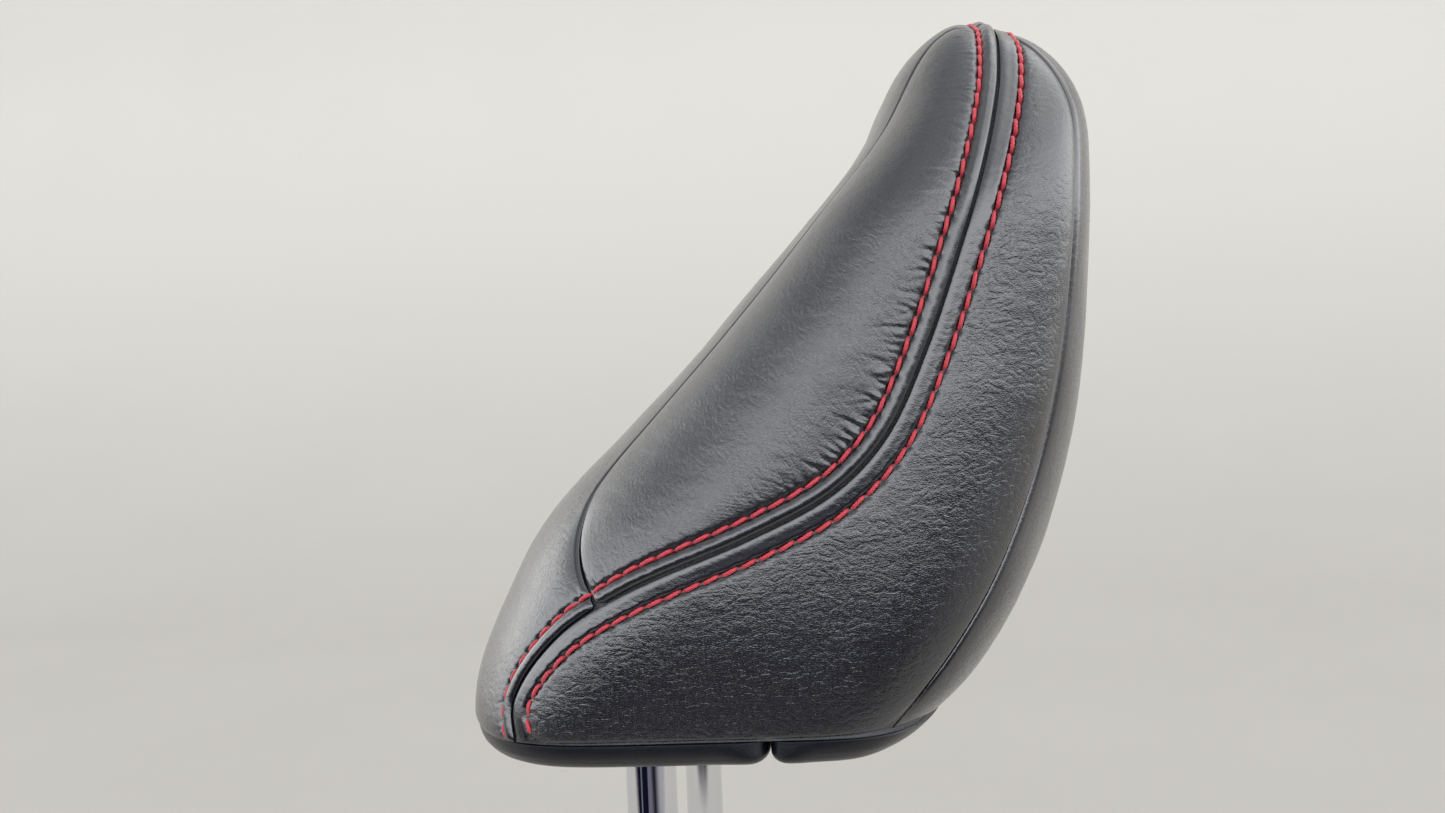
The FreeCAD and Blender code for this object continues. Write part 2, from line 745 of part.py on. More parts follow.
def flap(label, rearwards):
    """A padded flap between the notch and the head's outline at the hem."""
    side = 1 if rearwards else -1
    edge = side * size("notch_width") / 2 - size("notch_position")
    start = Vector(0, edge, size("hem_height"))
    points = []
    for k in range(FLAP_POINTS + 1):
        turn = math.pi * k / FLAP_POINTS
        way = Vector(-math.cos(turn), side * math.sin(turn), 0)
        point = skin.reach(start, way * skin.half)
        normal = skin.normal(point)
        normal.z = 0
        if k in (0, FLAP_POINTS):
            normal.y = 0
        point -= normal.normalize() * size("flap_inset")
        points.append(Vector(point.x, point.y, 0))
    curve = Part.BSplineCurve()
    curve.interpolate(points)
    outline = Part.Wire([curve.toShape(), Part.makeLine(points[-1], points[0])])
    slab = Part.Face(outline).extrude(Vector(0, 0, size("flap_thickness")))
    under = [edge for edge in slab.Edges if max(v.Point.z for v in edge.Vertexes) < TINY]
    longest = max(under, key=lambda edge: edge.Length)
    return feature(f"{label}_blank", slab.makeFillet(size("flap_round"), [longest]))


def make_flaps():
    low = "-sizes.overshoot"
    holes = post_ends("Cylinder", "flap_hole", low, Height="sizes.flap_thickness + 2 * sizes.overshoot",
                      Radius=f"sizes.collar_barrel / 2 + {PLAY}")
    holes += post_ends("Cylinder", "flap_recess", low, Radius=f"sizes.collar_flange / 2 + {PLAY}",
                       Height=f"sizes.overshoot + sizes.collar_clearance + sizes.collar_lip + {PLAY}")
    rear = cut("flap_rear", flap("flap_rear", True), joined("flap_holes", holes))
    front = flap("flap_front", False)
    front.Label = "flap_front"
    return [rear, front]


FLAP_TOP = "sizes.flap_thickness + sizes.soft_clearance"
NOTCH = "-sizes.notch_position"
WALL = "sizes.closure_wall"
HEIGHT = "sizes.closure_height"

# Places on the two profiles, from the middle of the notch and the top of the flaps
REAR_WEB = "sizes.closure_lead"
REAR_BACK = f"({REAR_WEB} + {WALL})"
REAR_LIP = f"({REAR_WEB} - sizes.closure_hook)"
LIP_FOOT = f"({HEIGHT} - sizes.closure_lip)"
FRONT_FLOOR = f"({LIP_FOOT} - sizes.closure_play - {WALL})"
FRONT_WEB = f"({REAR_LIP} - sizes.closure_play - {WALL})"
FRONT_LIP = f"(({REAR_WEB} + {REAR_LIP} + {WALL}) / 2)"
FRONT_TOP = f"({HEIGHT} - {WALL} - sizes.closure_play)"
REAR_END = f"({REAR_BACK} + sizes.closure_foot)"
FRONT_END = f"({FRONT_WEB} - sizes.closure_foot)"

CLOSURES = {
    "closure_rear": [
        (REAR_END, "0"), (REAR_END, WALL), (REAR_BACK, WALL), (REAR_BACK, HEIGHT), (REAR_LIP, HEIGHT),
        (REAR_LIP, LIP_FOOT), (f"{REAR_LIP} + {WALL}", LIP_FOOT),
        (f"{REAR_LIP} + {WALL}", f"{HEIGHT} - {WALL}"), (REAR_WEB, f"{HEIGHT} - {WALL}"), (REAR_WEB, "0"),
    ],
    "closure_front": [
        (FRONT_END, "0"), (f"{FRONT_WEB} + {WALL}", "0"), (f"{FRONT_WEB} + {WALL}", FRONT_FLOOR),
        (f"{FRONT_LIP} + {WALL} / 2", FRONT_FLOOR), (f"{FRONT_LIP} + {WALL} / 2", FRONT_TOP),
        (f"{FRONT_LIP} - {WALL} / 2", FRONT_TOP), (f"{FRONT_LIP} - {WALL} / 2", f"{FRONT_FLOOR} + {WALL}"),
        (FRONT_WEB, f"{FRONT_FLOOR} + {WALL}"), (FRONT_WEB, WALL), (FRONT_END, WALL),
    ],
}


def make_closures():
    """Two J profiles whose lips hook into each other above the notch."""
    bodies = []
    for label, corners in CLOSURES.items():
        body = new_body(label)
        sketch = new_sketch(body, f"{label}_profile", "YZ_Plane")
        add_outline(sketch, [(f"{NOTCH} + {y}", f"{FLAP_TOP} + {z}") for y, z in corners])
        pad(body, f"{label}_length", sketch, "sizes.closure_length", symmetric=True)
        bodies.append(body)
    return bodies


# The foam

def foam_blank():
    """The moulded foam's outer form, inset from the cover."""
    inset = size("cover_thickness") + size("foam_clearance")
    low = size("flap_thickness") + size("soft_clearance")
    rows = [(low + (skin.crest - low) * share, 0) for share in FOAM_RISES]
    rows += [(skin.crest, math.radians(tilt)) for tilt in FOAM_TILTS]
    grid = []
    for height, tilt in rows:
        middle, depth, width, _ = skin.section(height)
        lift = Vector(0, 0, (skin.top - skin.crest) * math.sin(tilt))
        ring = []
        for k in range(FOAM_TURNS):
            angle = 2 * math.pi * k / FOAM_TURNS
            target = Vector(width * math.sin(angle), middle + depth * math.cos(angle), height)
            core = skin.core(target)
            point = skin.reach(core, (target - core) * math.cos(tilt) + lift)
            normal = skin.normal(point)
            if height == low:
                normal.z = 0
                normal.normalize()
            ring.append(point - normal * inset)
        grid.append(ring)
    for ring in (grid[0], grid[-1]):
        level = min(point.z for point in ring)
        for point in ring:
            point.z = level
    side = surface([ring + ring[:1] for ring in grid])
    rims = [edge for edge in side.Edges if edge.isClosed()]
    return feature("foam_blank", closed_solid([side] + [Part.Face(Part.Wire(rim)) for rim in rims]))


def carrier_room():
    """The pocket that the carrier fills."""
    body = new_body("carrier_room")
    sketch = new_sketch(body, "carrier_room_outline", "XZ_Plane", f"-sizes.carrier_back_depth - {PLAY}")
    add_rectangle(sketch, f"-({CARRIER_HALF} + {PLAY})", f"{CARRIER_HALF} + {PLAY}",
                  f"sizes.carrier_bottom - {PLAY}", f"{CARRIER_TOP} + {PLAY}")
    block = pad(body, "carrier_room_block", sketch,
                f"sizes.carrier_back_depth + sizes.carrier_front_depth + 2 * {PLAY}")
    round_top(body, "carrier_room_corners", block)
    return lean(body)


def make_foam():
    tube_room = feature("tube_room", bent_tube(size("post_diameter") / 2 + size("soft_clearance"), 0))
    collar_rooms = post_ends("Cylinder", "collar_room", "0", Radius=f"sizes.collar_barrel / 2 + {PLAY}",
                             Height=f"sizes.collar_height + {PLAY}")
    left, length = f"-sizes.closure_length / 2 - {PLAY}", f"sizes.closure_length + 2 * {PLAY}"
    slots = [primitive("Box", label, (left, f"{NOTCH} + {front} - {PLAY}", "0"), Length=length,
                       Width=f"{back} - {front} + 2 * {PLAY}", Height=f"{FLAP_TOP} + {height} + {PLAY}")
             for label, front, back, height in (("closure_room", FRONT_WEB, REAR_BACK, HEIGHT),
                                                ("closure_foot_room", FRONT_END, REAR_END, WALL))]
    rooms = joined("foam_rooms", [carrier_room(), tube_room] + collar_rooms + slots)
    return [cut("foam_body", foam_blank(), rooms)]


def write(items):
    doc.recompute()
    for item in doc.Objects:
        if {"Invalid", "Error"} & set(item.State):
            raise RuntimeError(f"{item.Label} failed: {item.State}")
    os.makedirs("parts", exist_ok=True)
    for item in items:
        shape = item.Shape
        if shape.isNull() or not shape.isValid():
            raise RuntimeError(f"{item.Label} has no valid shape")
        print(item.Label, len(shape.Solids), round(shape.Volume, 1))
        shape.exportStep(f"parts/{item.Label}.step")


write([make_post_frame()] + make_collar() + make_carrier() + make_screws() + make_foam()
      + make_cover() + make_stitches() + make_flaps() + make_closures())
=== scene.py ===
"""Head restraint of a sport seat: leather panels over foam, red top stitching, chromed posts.

Shapes are worked out in millimetres in the part's own frame and written to Blender in metres.
+Z is up, the side that the head leans on faces -Y, and X runs across.
"""

import math

import bmesh
import bpy
import numpy as np
from mathutils import Matrix, Vector
from mathutils.kdtree import KDTree


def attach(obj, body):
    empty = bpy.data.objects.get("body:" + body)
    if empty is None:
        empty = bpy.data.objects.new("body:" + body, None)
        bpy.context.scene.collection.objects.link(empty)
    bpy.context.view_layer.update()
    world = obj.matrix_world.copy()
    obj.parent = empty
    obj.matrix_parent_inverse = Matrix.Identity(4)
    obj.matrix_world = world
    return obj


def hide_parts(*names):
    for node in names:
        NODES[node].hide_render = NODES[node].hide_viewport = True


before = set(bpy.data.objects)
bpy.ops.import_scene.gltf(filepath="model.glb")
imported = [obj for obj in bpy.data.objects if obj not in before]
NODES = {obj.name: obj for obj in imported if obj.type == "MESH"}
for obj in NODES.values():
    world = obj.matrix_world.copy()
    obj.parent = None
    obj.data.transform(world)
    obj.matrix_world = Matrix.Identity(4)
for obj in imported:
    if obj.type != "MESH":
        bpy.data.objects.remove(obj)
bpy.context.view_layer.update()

MM = 0.001

# The head's form, as in the part's source
HALF_WIDTH, TOP, FLAT_HALF = 130.0, 188.5, 70.0
CREST, SHOULDER = TOP - 36.5, TOP - 63.5
FOOT_TUCK, TUCK_HEIGHT = 5.0, 60.0
BACK_LINE = [(0, 57), (15, 54.5), (35, 45), (60, 29), (85, 3), (110, -22), (135, -45), (160, -65),
             (190, -65.5)]
FACE_LINE = [(0, -81), (15, -95.5), (35, -107.5), (60, -116.5), (85, -122), (110, -124.5), (135, -125.5),
             (160, -125), (190, -120.5)]
BLEND_HEIGHT = 80
ACROSS_POWER, BACK_POWER, FACE_POWER = (2.0, 3.2), (5.0, 2.75), (7.0, 5.0)
CORE_INSET = 50
S_SEAM = [(10, 29, 7), (12, 29, 18), (8, 16, 33.5), (3, -2, 44), (0, -33, 56), (0, -53, 66), (0, -66, 79),
          (0, -76, 99), (0, -84, 120), (2, -91, 141), (10, -96, 160), (18, -98, 171), (35, -99.5, 182.5),
          (60, -99, 187), (95, -97.5, 188.5), (130, -97, 188.5)]
BACK_SEAM = [(15, 11, 53), (22, 11, 60), (31, 8, 69), (37, -2, 81), (38, -26, 106), (38, -45, 128),
             (38, -62, 148), (39, -76, 167), (40, -86, 178)]
FACE_SEAM = [(8, -67, 7), (8, -82, 26), (11, -95, 49), (13, -105, 73), (12, -112, 104), (10, -115, 134),
             (13, -115, 153), (21, -110, 170), (31, -104, 180)]
JOIN_HEIGHT, BACK_SEAM_TOP, FACE_SEAM_TOP = 40, 90, 84

# The cover
HEM = 7.0
LEATHER = 3.0
GAP = 0.4
REAR_ROW, FRONT_ROW = 4.5, 5.5
PITCH = 4.9
ROW_MARGIN = 0.8
THREAD = 0.52
INNER_STEP = 6
PANEL_TIP = 0.992
BELOW_JOIN = 0.2

# The relief of the leather; folds are the number of creases at each hole, their lengths and their depth
WELT_PLACE, WELT_WIDTH, CHANNEL_WIDTH, PULL_REACH = 0.7, 1.5, 0.8, 2.6
PLAIN_RADIUS, HEM_RADIUS = 1.7, 1.2
DIMPLE, DIMPLE_WIDTH = 0.7, 0.8
CREASE_ZONE, CREASE_NEAR = 24, 20
LONG_CREASE, LONG_CREASE_SHARE = 1.8, 0.15
CREASE_DEPTHS, CREASE_WIDTHS = (0.35, 1), (0.3, 0.46)
CREASE_SLANT, CREASE_BEND = 0.22, 0.02
RIM_SHARE, RIM_PLACE, RIM_WIDTH = 0.45, 0.9, 0.6
GATHER_LEAST, GATHER_MORE, GATHER_RATE = 0.4, 0.9, 60
SIDE_FOLDS, BOLSTER_FOLDS, FRONT_FOLDS = (5, (3, 8), 0.14), (6, (3, 9), 0.24), (3, (2, 5), 0.12)
CALM_BY_S, CALM_BY_SEAM, CALM_BY_HEM = 8, 6, 8
WAVE_LENGTH = 17
FINE_WAVE, FINE_STRETCH = 0.05, (0.3, 0.2, 0.45)
PUCKER_REAR, PUCKER_FRONT, PUCKER_STRETCH = 0.05, 0.02, 0.75
LEAST_THICKNESS = 0.3
FAR_FROM_SEAM = 50.0

# The stitches
RINGS, TURNS = 17, 12
DIP, DIP_POWER = 2.6, 3.4
CLEARANCE, LIFT_SPREAD = 0.1, 0.03
SLANT, SLANT_SPREAD = 0.28, 0.04
STRANDS, STRAND_DEPTH, STRAND_TWIST = 3, 0.24, 2.8
END_WIDTH = 0.3

# The flaps
NOTCH, NOTCH_HALF, NOTCH_WAVE = -34.5, 0.08, 1.0
FLAP_INSET = 2.6
FLAP_HEIGHT = 6.5
FLAP_ROUND, NOTCH_HEIGHT = 6.0, 3.0
FACE_LEAN = 0.9
FLAP_SPACING, FLAP_SMOOTHINGS = 1.3, 14
EDGE_RINGS, TOP_RINGS, UNDER_RINGS = 19, 12, 46
FLAP_WAVES = (14, 0.18), (5, 0.05)
UNDERSIDE, PAD_HEIGHT = 0.22, 3
RECESS_RADIUS, RECESS_TOP = 12.3, 1.95
HOLE_RADIUS, HOLE_TOP = 9.8, 12
POST_X = 75.0

# The camera
SENSOR = 36
FOCAL_PIXELS, PHOTO_WIDTH = 1290, 1445
CAMERA_PLACE = (-0.430, -0.049, 0.087)
CAMERA_YAW, CAMERA_TILT = 4, 2.5

# Numerical steps
SLOPE_STEP, UNDER_TOP = 0.05, 0.001
SHARE_STEP = 0.004
S_SAMPLES, SEAM_SAMPLES, ROW_SAMPLES = 1400, 420, 1600


# Curves and the head's skin, on arrays of points

def hermite(points, place):
    """Values at places on a smooth line through (place, value) points."""
    x, y = np.array(points, float).T
    place = np.clip(place, x[0], x[-1])
    ends = np.arange(len(x))
    low, high = np.maximum(ends - 1, 0), np.minimum(ends + 1, len(x) - 1)
    slope = (y[high] - y[low]) / (x[high] - x[low])
    k = np.clip(np.searchsorted(x, place, side="right") - 1, 0, len(x) - 2)
    step, rise = x[k + 1] - x[k], y[k + 1] - y[k]
    u = (place - x[k]) / step
    start, end = slope[k] * step - rise, rise - slope[k + 1] * step
    return y[k] + u * rise + u * (1 - u) * ((1 - u) * start + u * end)


def length(vectors):
    return np.sqrt((vectors ** 2).sum(-1))


def unit(vectors):
    return vectors / np.maximum(length(vectors), 1e-9)[..., None]


def smooth(value):
    value = np.clip(value, 0, 1)
    return value * value * (3 - 2 * value)


def section(z):
    """Middle, half depth, half width and powers of the head's cut at each height."""
    back, face = hermite(BACK_LINE, z), hermite(FACE_LINE, z)
    over = np.clip((z - CREST) / (TOP - CREST), 0, 1)
    depth = (back - face) / 2 * np.sqrt(1 - over ** 2)
    out = np.clip((z - SHOULDER) / (TOP - SHOULDER), 0, 1)
    width = FLAT_HALF + (HALF_WIDTH - FLAT_HALF) * np.sqrt(1 - out ** 2)
    width = width - FOOT_TUCK * np.clip(1 - z / TUCK_HEIGHT, 0, 1) ** 2
    share = smooth(z / BLEND_HEIGHT)
    powers = [low + (high - low) * share for low, high in (ACROSS_POWER, BACK_POWER, FACE_POWER)]
    return (back + face) / 2, depth, width, powers


def level(points):
    """Below 1 inside the head's skin and above 1 outside it."""
    x, y, z = np.moveaxis(points, -1, 0)
    middle, depth, width, (across, back, face) = section(z)
    power = np.where(y > middle, back, face)
    return (np.abs(x) / width) ** across + (np.abs(y - middle) / np.maximum(depth, 1e-6)) ** power


def inside(points):
    return (points[..., 2] < TOP) & (level(points) < 1)


def core(points):
    """Points of the sheet inside the head from which the skin is reached."""
    half = HALF_WIDTH - CORE_INSET
    height = np.clip(points[..., 2], 0, CREST)
    return np.stack([np.clip(points[..., 0], -half, half), section(height)[0], height], -1)


def reach(start, way):
    """The skin's points on lines from points inside the head."""
    inner, outer = np.zeros(start.shape[:-1]), np.ones(start.shape[:-1])
    while True:
        short = inside(start + way * outer[..., None])
        if not short.any():
            break
        inner, outer = np.where(short, outer, inner), np.where(short, outer * 1.5, outer)
    for _ in range(24):
        half = (inner + outer) / 2
        within = inside(start + way * half[..., None])
        inner, outer = np.where(within, half, inner), np.where(within, outer, half)
    return start + way * outer[..., None]


def push(points):
    """The skin's points on the lines from the core through points."""
    middle = core(points)
    return reach(middle, points - middle)


def outward(points):
    """Outward directions at points of the skin."""
    slopes = []
    for axis in range(3):
        low, high = points.copy(), points.copy()
        low[..., axis] -= SLOPE_STEP
        high[..., axis] += SLOPE_STEP
        high[..., 2] = np.minimum(high[..., 2], TOP - UNDER_TOP)
        low[..., 2] = np.minimum(low[..., 2], TOP - 2 * UNDER_TOP)
        apart = np.maximum(high[..., axis] - low[..., axis], 1e-4)
        slopes.append((level(high) - level(low)) / apart)
    return unit(np.stack(slopes, -1))


def marks_of(points):
    """How far along a line of points each one lies."""
    return np.concatenate([[0], np.cumsum(length(np.diff(points, axis=0)))])


def seam_line(points):
    """A curve on the skin through points, as a function of shares from 0 to 1."""
    points = np.array(points, float)
    marks = marks_of(points)
    parts = [list(zip(marks, axis)) for axis in points.T]

    def line(shares):
        places = np.asarray(shares) * marks[-1]
        return push(np.stack([hermite(part, places) for part in parts], -1))
    return line


def left_points(rows):
    """Points on the left side from their distance to the widest plane, y and z."""
    return [(inset - HALF_WIDTH, y, z) for inset, y, z in rows]


def part_of(line, start, end):
    """A part of a curve as a curve of its own."""
    return lambda shares: line(start + (end - start) * np.asarray(shares))


def mirror(line):
    return lambda shares: line(shares) * (-1, 1, 1)


def beside(line, distance):
    """The curve at a distance from a seam: rearwards and inwards is plus."""
    def moved(shares):
        shares = np.asarray(shares, float)
        points = line(shares)
        ahead, behind = np.minimum(shares + SHARE_STEP, 1), np.maximum(shares - SHARE_STEP, 0)
        tangent = unit(line(ahead) - line(behind))
        return push(points + np.cross(outward(points), tangent) * distance)
    return moved


def first_share(line, test):
    """The first share of a curve at which a test holds."""
    shares = np.linspace(0, 1, 601)
    return shares[np.argmax(test(line(shares)))]


HALF_S = left_points(S_SEAM)
s_seam = seam_line(HALF_S + [(-x, y, z) for x, y, z in reversed(HALF_S[:-1])])
JOIN_SHARE = first_share(s_seam, lambda p: p[:, 2] > JOIN_HEIGHT)
BACK_SHARE = first_share(s_seam, lambda p: (p[:, 0] > -BACK_SEAM_TOP) & (p[:, 2] > JOIN_HEIGHT))
FACE_SHARE = first_share(s_seam, lambda p: (p[:, 0] > -FACE_SEAM_TOP) & (p[:, 2] > JOIN_HEIGHT))
back_seam = seam_line([s_seam([JOIN_SHARE])[0]] + left_points(BACK_SEAM) + [s_seam([BACK_SHARE])[0]])
face_seam = seam_line(left_points(FACE_SEAM) + [s_seam([FACE_SHARE])[0]])


def tree_of(points):
    tree = KDTree(len(points))
    for k, point in enumerate(points):
        tree.insert(point, k)
    tree.balance()
    return tree


class Polyline:
    """A sampled curve that gives the distance of points from it."""

    def __init__(self, line, count):
        self.points = line(np.linspace(0, 1, count))
        self.tangents = unit(np.gradient(self.points, axis=0))
        self.tree = tree_of(self.points)

    def distance(self, points):
        flat = points.reshape(-1, 3)
        k = np.array([self.tree.find(point)[1] for point in flat])
        off = flat - self.points[k]
        along = (off * self.tangents[k]).sum(-1)
        return np.sqrt(np.maximum((off ** 2).sum(-1) - along ** 2, 0)).reshape(points.shape[:-1])


LINES = {
    "s": Polyline(s_seam, S_SAMPLES),
    "back_left": Polyline(back_seam, SEAM_SAMPLES),
    "back_right": Polyline(mirror(back_seam), SEAM_SAMPLES),
    "face_left": Polyline(face_seam, SEAM_SAMPLES),
    "face_right": Polyline(mirror(face_seam), SEAM_SAMPLES),
}


# Relief of the leather

class Noise:
    """Smooth value noise on a lattice, the same in each run."""

    SIZE = 32

    def __init__(self, seed):
        self.lattice = np.random.default_rng(seed).random((self.SIZE,) * 3)

    def __call__(self, points):
        base = np.floor(points).astype(int)
        part = smooth(points - base)
        total = 0
        for corner in np.ndindex(2, 2, 2):
            index = (base + corner) % self.SIZE
            weight = np.prod(np.where(corner, part, 1 - part), axis=-1)
            total = total + weight * self.lattice[index[..., 0], index[..., 1], index[..., 2]]
        return total * 2 - 1


def bell(value, width):
    """A smooth bump of height 1 about 0."""
    return np.exp(-(value / width) ** 2)


def roll(distance, radius):
    """How far a rounded edge falls away."""
    return radius - np.sqrt(radius ** 2 - np.clip(radius - distance, 0, radius) ** 2)


def felled(distance, radius, crown, row, channel, pull):
    """The edge, the raised welt, the stitch channel and the leather beyond it."""
    height = crown * bell(distance - (radius + WELT_PLACE), WELT_WIDTH) - roll(distance, radius)
    height -= channel * bell(distance - row, CHANNEL_WIDTH)
    beyond = smooth(distance - row + 1) * np.exp(-np.maximum(distance - row, 0) / PULL_REACH)
    return height - pull * beyond


def sink(distance, *parts):
    """How the padding sinks towards a line: a sum of parts with a depth and a reach."""
    return -sum(depth * np.exp(-distance / far) for depth, far in parts)


def rear_edge(distance):
    edge = felled(distance, radius=1.2, crown=0.6, row=REAR_ROW, channel=0.65, pull=0.45)
    return edge + sink(distance, (0.7, 16))


def front_edge(distance):
    edge = felled(distance, radius=0.9, crown=0.2, row=FRONT_ROW, channel=0.6, pull=0.35)
    return edge + sink(distance, (1.2, 16))


def plain_sink(distance):
    return sink(distance, (0.5, 4), (0.9, 14))


def hem_sink(distance):
    return sink(distance, (0.3, 5), (1.5, 20))


def holes_of(side):
    """Needle holes at the stitch pitch, symmetric about the middle of the row, with their directions."""
    row = beside(s_seam, REAR_ROW if side > 0 else -FRONT_ROW)
    points = row(np.linspace(0, 1, ROW_SAMPLES))
    marks = marks_of(points)
    last = marks[-1] - ROW_MARGIN
    places = np.linspace(ROW_MARGIN, last, round((last - ROW_MARGIN) / PITCH) + 1)
    at = np.stack([np.interp(places, marks, axis) for axis in points.T], -1)
    normal = outward(at)
    tangent = unit(np.gradient(at, axis=0))
    away = unit(np.cross(normal, tangent)) * side
    return at, normal, tangent, away


HOLES = {1: holes_of(1), -1: holes_of(-1)}


def dimples(points, side):
    """Depth of the dents at the needle holes."""
    tree = tree_of(HOLES[side][0])
    apart = np.array([tree.find(point)[2] for point in points.reshape(-1, 3)])
    return DIMPLE * bell(apart, DIMPLE_WIDTH).reshape(points.shape[:-1])


def gather(side):
    """How much the leather gathers at each needle hole: most where the row bends towards the panel."""
    tangent, away = HOLES[side][2:]
    bend = (np.gradient(tangent, axis=0) * away).sum(-1) / PITCH
    bend = np.convolve(np.pad(bend, 3, "edge"), np.full(7, 1 / 7), "valid")
    return GATHER_LEAST + GATHER_MORE * np.clip(bend * GATHER_RATE, 0, 1)


def creases(points, to_s, side, seed, number, lengths, depth):
    """Relief of short creases that run away from the needle holes."""
    draw = np.random.default_rng(seed)
    at, _, tangent, away = HOLES[side]
    near_row = to_s < CREASE_ZONE
    flat = points[near_row]
    relief = np.zeros(len(flat))
    for hole, along, out, amount in zip(at, tangent, away, gather(side)):
        off = flat - hole
        close = np.flatnonzero((off ** 2).sum(-1) < CREASE_NEAR ** 2)
        far, sideways = off[close] @ out, off[close] @ along
        for _ in range(number):
            end = draw.uniform(*lengths) * (LONG_CREASE if draw.random() < LONG_CREASE_SHARE else 1)
            deep = depth * amount * draw.uniform(*CREASE_DEPTHS)
            slant, shift = draw.normal(0, CREASE_SLANT), draw.uniform(-0.5, 0.5) * PITCH
            width, bend = draw.uniform(*CREASE_WIDTHS), draw.normal(0, CREASE_BEND)
            across = sideways - shift - slant * far - bend * far ** 2
            fade = smooth((far + 0.8) / 1.2) * smooth((end - far) / (end * 0.8))
            rim = RIM_SHARE * bell(across - RIM_PLACE, RIM_WIDTH)
            relief[close] -= deep * (bell(across, width) - rim) * fade
    total = np.zeros(points.shape[:-1])
    total[near_row] = relief
    return total


def welt_puckers(points, distance, row, seed, depth):
    """Fine gathers across the welt."""
    window = smooth((distance - 0.3) / 0.8) * smooth((row - distance) / 1.2)
    return depth * Noise(seed)(points * PUCKER_STRETCH) * window


class Relief:
    """Height of a panel's leather over the head's skin, and the distance from its seams."""

    def __init__(self, seed, side, plain_seams, hem, wave, folds):
        self.seed, self.side, self.plain_seams, self.hem = seed, side, plain_seams, hem
        self.wave, self.folds = wave, folds

    def __call__(self, points, to_s):
        if self.side > 0:
            edge, row, pucker = rear_edge, REAR_ROW, PUCKER_REAR
        else:
            edge, row, pucker = front_edge, FRONT_ROW, PUCKER_FRONT
        height = edge(to_s)
        away = smooth((to_s - 1) / CALM_BY_S)
        to_seam = to_s
        for name in self.plain_seams:
            to_line = LINES[name].distance(points)
            to_seam = np.minimum(to_seam, to_line + 2)
            height = height + plain_sink(to_line) - roll(to_line, PLAIN_RADIUS)
            away = away * smooth((to_line - 1) / CALM_BY_SEAM)
        if self.hem:
            to_hem = points[..., 2] - HEM
            height = height + hem_sink(to_hem) - roll(to_hem, HEM_RADIUS)
            away = away * smooth(to_hem / CALM_BY_HEM)
        height = height - dimples(points, self.side)
        height = height + creases(points, to_s, self.side, self.seed, *self.folds)
        height = height + welt_puckers(points, to_s, row, self.seed + 1, pucker)
        height = height + self.wave * Noise(self.seed + 2)(points / WAVE_LENGTH) * away
        height = height + FINE_WAVE * Noise(self.seed + 3)(points * FINE_STRETCH) * away
        return np.maximum(height, LEAST_THICKNESS - LEATHER), to_seam


# Meshes

def new_object(name, data):
    item = bpy.data.objects.new(name, data)
    bpy.context.scene.collection.objects.link(item)
    return item


def mesh_object(name, points, faces, material):
    """A smooth-shaded mesh from points in millimetres."""
    mesh = bpy.data.meshes.new(name)
    mesh.from_pydata((np.asarray(points) * MM).tolist(), [], faces)
    mesh.validate()
    mesh.polygons.foreach_set("use_smooth", [True] * len(mesh.polygons))
    mesh.materials.append(material)
    return new_object(name, mesh)


def point_value(item, name, values):
    data = item.data.attributes.new(name, "FLOAT", "POINT")
    data.data.foreach_set("value", np.ascontiguousarray(values, np.float32))


def place(item, slot, *nodes, fill=None):
    """Fix a piece to the part and hide the nodes that it stands for; how full its padding is (fill) is not
    used.
    """
    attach(item, "root")
    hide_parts(*nodes)


def crowd(count, amount):
    """Shares from 0 to 1 that lie closer together at both ends."""
    t = np.linspace(0, 1, count)
    return t - amount * np.sin(2 * math.pi * t) / (2 * math.pi)


def patch(left, right, foot, head, across, along):
    """Points of the skin between two side curves that run upwards and two end curves."""
    lefts, rights = left(along), right(along)
    corners = lefts[0], rights[0], lefts[-1], rights[-1]

    def run(line, start, end):
        share = across[:, None]
        if line is None:
            return push(start + (end - start) * share)
        points = line(across)
        return points + (start - points[0]) * (1 - share) + (end - points[-1]) * share

    feet, heads = run(foot, *corners[:2]), run(head, *corners[2:])
    s, u = across[:, None, None], along[None, :, None]
    ruled = feet[:, None] * (1 - u) + heads[:, None] * u + lefts[None] * (1 - s) + rights[None] * s
    twist = (corners[0] * ((1 - s) * (1 - u)) + corners[1] * (s * (1 - u))
             + corners[2] * ((1 - s) * u) + corners[3] * (s * u))
    return push(ruled - twist)


def grid_faces(rows, columns, flip):
    i, j = np.meshgrid(np.arange(rows - 1), np.arange(columns - 1), indexing="ij")
    a = (i * columns + j).ravel()
    faces = np.stack([a, a + columns, a + columns + 1, a + 1], -1)
    return faces[:, ::-1] if flip else faces


def border(rows, columns, step=1):
    """The places of a grid's outer points in order, once round."""
    first = [(i, 0) for i in range(0, rows, step)]
    top = [(rows - 1, j) for j in range(step, columns, step)]
    last = [(i, columns - 1) for i in range(rows - 1 - step, -1, -step)]
    foot = [(0, j) for j in range(columns - 1 - step, 0, -step)]
    return first + top + last + foot


